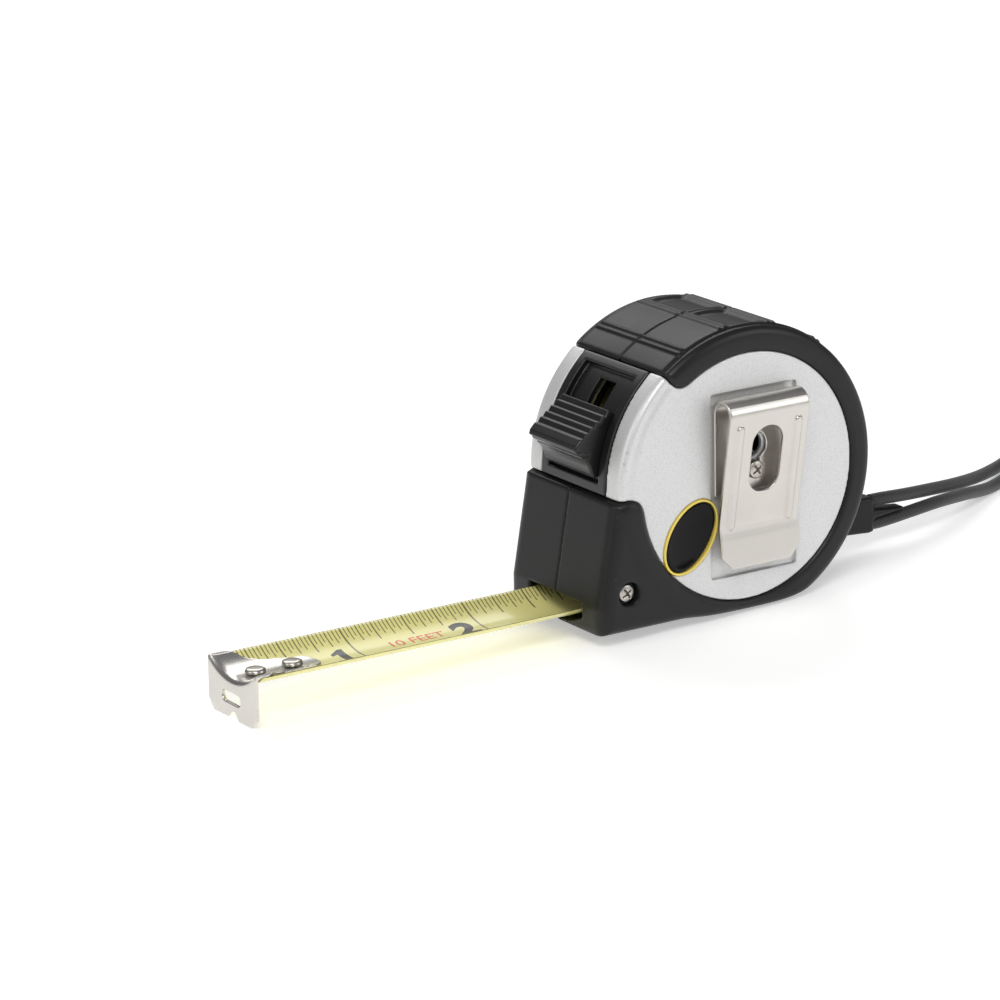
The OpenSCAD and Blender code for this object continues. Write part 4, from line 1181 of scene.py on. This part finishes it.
class TAPE_OT_shells(bpy.types.Operator):
    """Shapes the two silver shells, with the clip's pocket and the bare rim beside the lock"""

    bl_idname = "tape.shells"
    bl_label = "Shells"

    def execute(self, context):
        block = Block((-28.0, -0.1, 0.5), (25.6, 15.0, 51.5), context.scene.tape_case.cell / MM)
        skin("Shell_far_side", block, shell_distance(block, False), "case",
             ("shell_far_side",), FINISH["silver"])
        made = skin("Shell_clip_side", block, shell_distance(block, True), "case",
                    ("shell_clip_side",), FINISH["silver"])
        mirrored(made.data)
        return {"FINISHED"}


class TAPE_OT_lock(bpy.types.Operator):
    """Shapes the lock's panel and its stepped thumb piece"""

    bl_idname = "tape.lock"
    bl_label = "Blade lock"

    def execute(self, context):
        block = Block((-28.0, -10.1, 24.6), (-16.0, 10.1, 46.5), 0.16)
        skin("Lock_panel", block, lock_panel_distance(block), "case", ("lock_track",),
             FINISH["panel"])
        block = Block((-33.2, -7.7, 26.5), (-22.6, 7.7, 39.5), 0.11)
        skin("Lock_slider", block, slider_distance(block), "lock_slider", ("lock_slider",),
             FINISH["panel"])
        return {"FINISHED"}


class TAPE_OT_button(bpy.types.Operator):
    """Shapes the dished brake button and the yellow ring round it"""

    bl_idname = "tape.button"
    bl_label = "Brake button"

    def execute(self, context):
        block = Block((-18.6, -15.7, 8.8), (-6.4, -11.8, 22.8), 0.12)
        skin("Brake_button", block, button_distance(block), "brake", ("brake_button",),
             FINISH["button"])
        skin("Button_ring", block, ring_distance(block), "case", ("button_ring",),
             FINISH["ring"])
        return {"FINISHED"}


class TAPE_OT_clip(bpy.types.Operator):
    """Bends the belt clip from one sheet"""

    bl_idname = "tape.clip"
    bl_label = "Belt clip"

    def execute(self, context):
        block = Block((-7.5, -19.95, 8.7), (10.1, -13.9, 40.5), 0.15)
        clip = skin("Belt_clip", block, clip_distance(block), "", ("clip_plate", "clip_leaf"),
                    FINISH["clip"])
        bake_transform(clip)
        return {"FINISHED"}


class TAPE_OT_blade(bpy.types.Operator):
    """Rolls the blade's visible stretch and prints its figures"""

    bl_idname = "tape.blade"
    bl_label = "Blade"

    def execute(self, context):
        blade = piece("Blade", blade_mesh(), "", ("tape_blade",), FINISH["blade"])
        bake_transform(blade)
        for name, text, place, height, squeeze, weight, ink in (
                ("Figure_1", "1", (ZERO_X + INCH - 3.1, -1.7), 5.2, 1.0, 0.0, "black ink"),
                ("Figure_2", "2", (ZERO_X + 2 * INCH - 3.6, -1.6), 5.0, 1.35, 0.3, "black ink"),
                ("Length_label", "10 FEET", (ZERO_X + 37.2, 0.2), 2.3, 1.1, 0.015, "red ink")):
            mesh = printed_mesh(name, text, place, height, squeeze, weight)
            piece(name, mesh, "tape", (), FINISH[ink])
        return {"FINISHED"}


class TAPE_OT_hook(bpy.types.Operator):
    """Shapes the end hook and sets its two rivets"""

    bl_idname = "tape.hook"
    bl_label = "End hook"

    def execute(self, context):
        block = Block((-98.2, -8.3, -4.8), (-80.3, 8.3, 5.0), 0.1)
        skin("End_hook", block, hook_distance(block), "hook", ("end_hook",), FINISH["hook"])
        low = BLADE_Z - 0.5
        top = RIVET_TOP
        head = lathe_mesh("Rivet source",
                          [(0.95, low), (0.95, low + 0.3), (1.0, top - 0.85), (1.85, top - 0.8),
                           (1.85, top - 0.45), (1.72, top - 0.2), (1.4, top - 0.06), (0.9, top)])
        places = [(RIVETS[0] + k * RIVETS[1], 0, 0) for k in range(2)]
        set_on_points("Hook_rivets", head, places, FINISH["screw"], "tape", ("hook_rivets",))
        return {"FINISHED"}


class TAPE_OT_screws(bpy.types.Operator):
    """Sets the clip's screw and the nose's screw, and shapes the strap's tab"""

    bl_idname = "tape.screws"
    bl_label = "Screws and tab"

    def execute(self, context):
        block = Block((-1.9, -1.3, -1.9), (1.9, 7.6, 1.9), 0.055)
        for name, node_name, place in (("Clip_screw", "clip_screw", (REEL[0], -14.88, REEL[1])),
                                       ("Nose_screw", "nose_screw", (NOSE_SCREW[0], -13.33, NOSE_SCREW[1]))):
            made = skin(name, block, screw_distance(block), "", (node_name,), FINISH["screw"])
            made.data.transform(Matrix.Translation(Vector(place) * MM))
            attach(made, "case")
        block = Block((16.5, -2.2, 4.2), (45.8, 2.2, 11.6), 0.14)
        skin("Strap_tab", block, tab_distance(block), "case", ("strap_tab",), FINISH["tab"])
        return {"FINISHED"}


class TAPE_OT_insides(bpy.types.Operator):
    """Finishes the parts that are right as the model has them"""

    bl_idname = "tape.insides"
    bl_label = "Insides"

    def execute(self, context):
        for finish, names in (
                ("spring", ("mainspring", "lever_pin", "lever_spring", "button_spring", "strap_pin",
                            "centre_post")),
                # the reel's drum and cover take the near-black finish that paints the shade inside the case
                ("reel", ("reel_drum", "reel_cover")),
                ("natural", ("lock_lever", "brake_pad")),
                ("feed", ("tape_feed",)),
                ("coil", ("tape_coil",))):
            for name in names:
                NODES[name].material_slots[0].material = FINISH[finish]
        return {"FINISHED"}


class TAPE_PT_panel(bpy.types.Panel):
    """Sizes, colours and pieces of the tape measure"""

    bl_idname = "TAPE_PT_panel"
    bl_label = "Tape measure"
    bl_space_type = "VIEW_3D"
    bl_region_type = "UI"
    bl_category = "Tape"

    def draw(self, context):
        layout = self.layout
        for title, owner in PROPERTY_GROUPS:
            column = layout.box().column()
            column.label(text=title.replace("tape_", "").capitalize())
            for key in owner.__annotations__:
                column.prop(getattr(context.scene, title), key)
        column = layout.column()
        for operator in OPERATORS:
            column.operator(operator.bl_idname)


OPERATORS = (TAPE_OT_stage, TAPE_OT_strap, TAPE_OT_bumpers, TAPE_OT_shells, TAPE_OT_lock, TAPE_OT_button,
             TAPE_OT_clip, TAPE_OT_blade, TAPE_OT_hook, TAPE_OT_screws, TAPE_OT_insides)
PROPERTY_GROUPS = (("tape_case", TapeCase), ("tape_blade", TapeBlade), ("tape_clip", TapeClip),
                   ("tape_strap", TapeStrap), ("tape_stage", TapeStage))


def register():
    for title, owner in PROPERTY_GROUPS:
        bpy.utils.register_class(owner)
        setattr(bpy.types.Scene, title, bpy.props.PointerProperty(type=owner))
    for owner in (*OPERATORS, TAPE_PT_panel):
        bpy.utils.register_class(owner)


def unregister():
    for owner in reversed((*OPERATORS, TAPE_PT_panel)):
        bpy.utils.unregister_class(owner)
    for title, owner in reversed(PROPERTY_GROUPS):
        delattr(bpy.types.Scene, title)
        bpy.utils.unregister_class(owner)


def main():
    register()
    make_finishes()
    for build in (bpy.ops.tape.stage, bpy.ops.tape.strap, bpy.ops.tape.bumpers, bpy.ops.tape.shells,
                  bpy.ops.tape.lock, bpy.ops.tape.button, bpy.ops.tape.clip, bpy.ops.tape.blade,
                  bpy.ops.tape.hook, bpy.ops.tape.screws, bpy.ops.tape.insides):
        if "FINISHED" not in build():
            raise RuntimeError("a piece was not built")


if __name__ == "__main__":
    main()
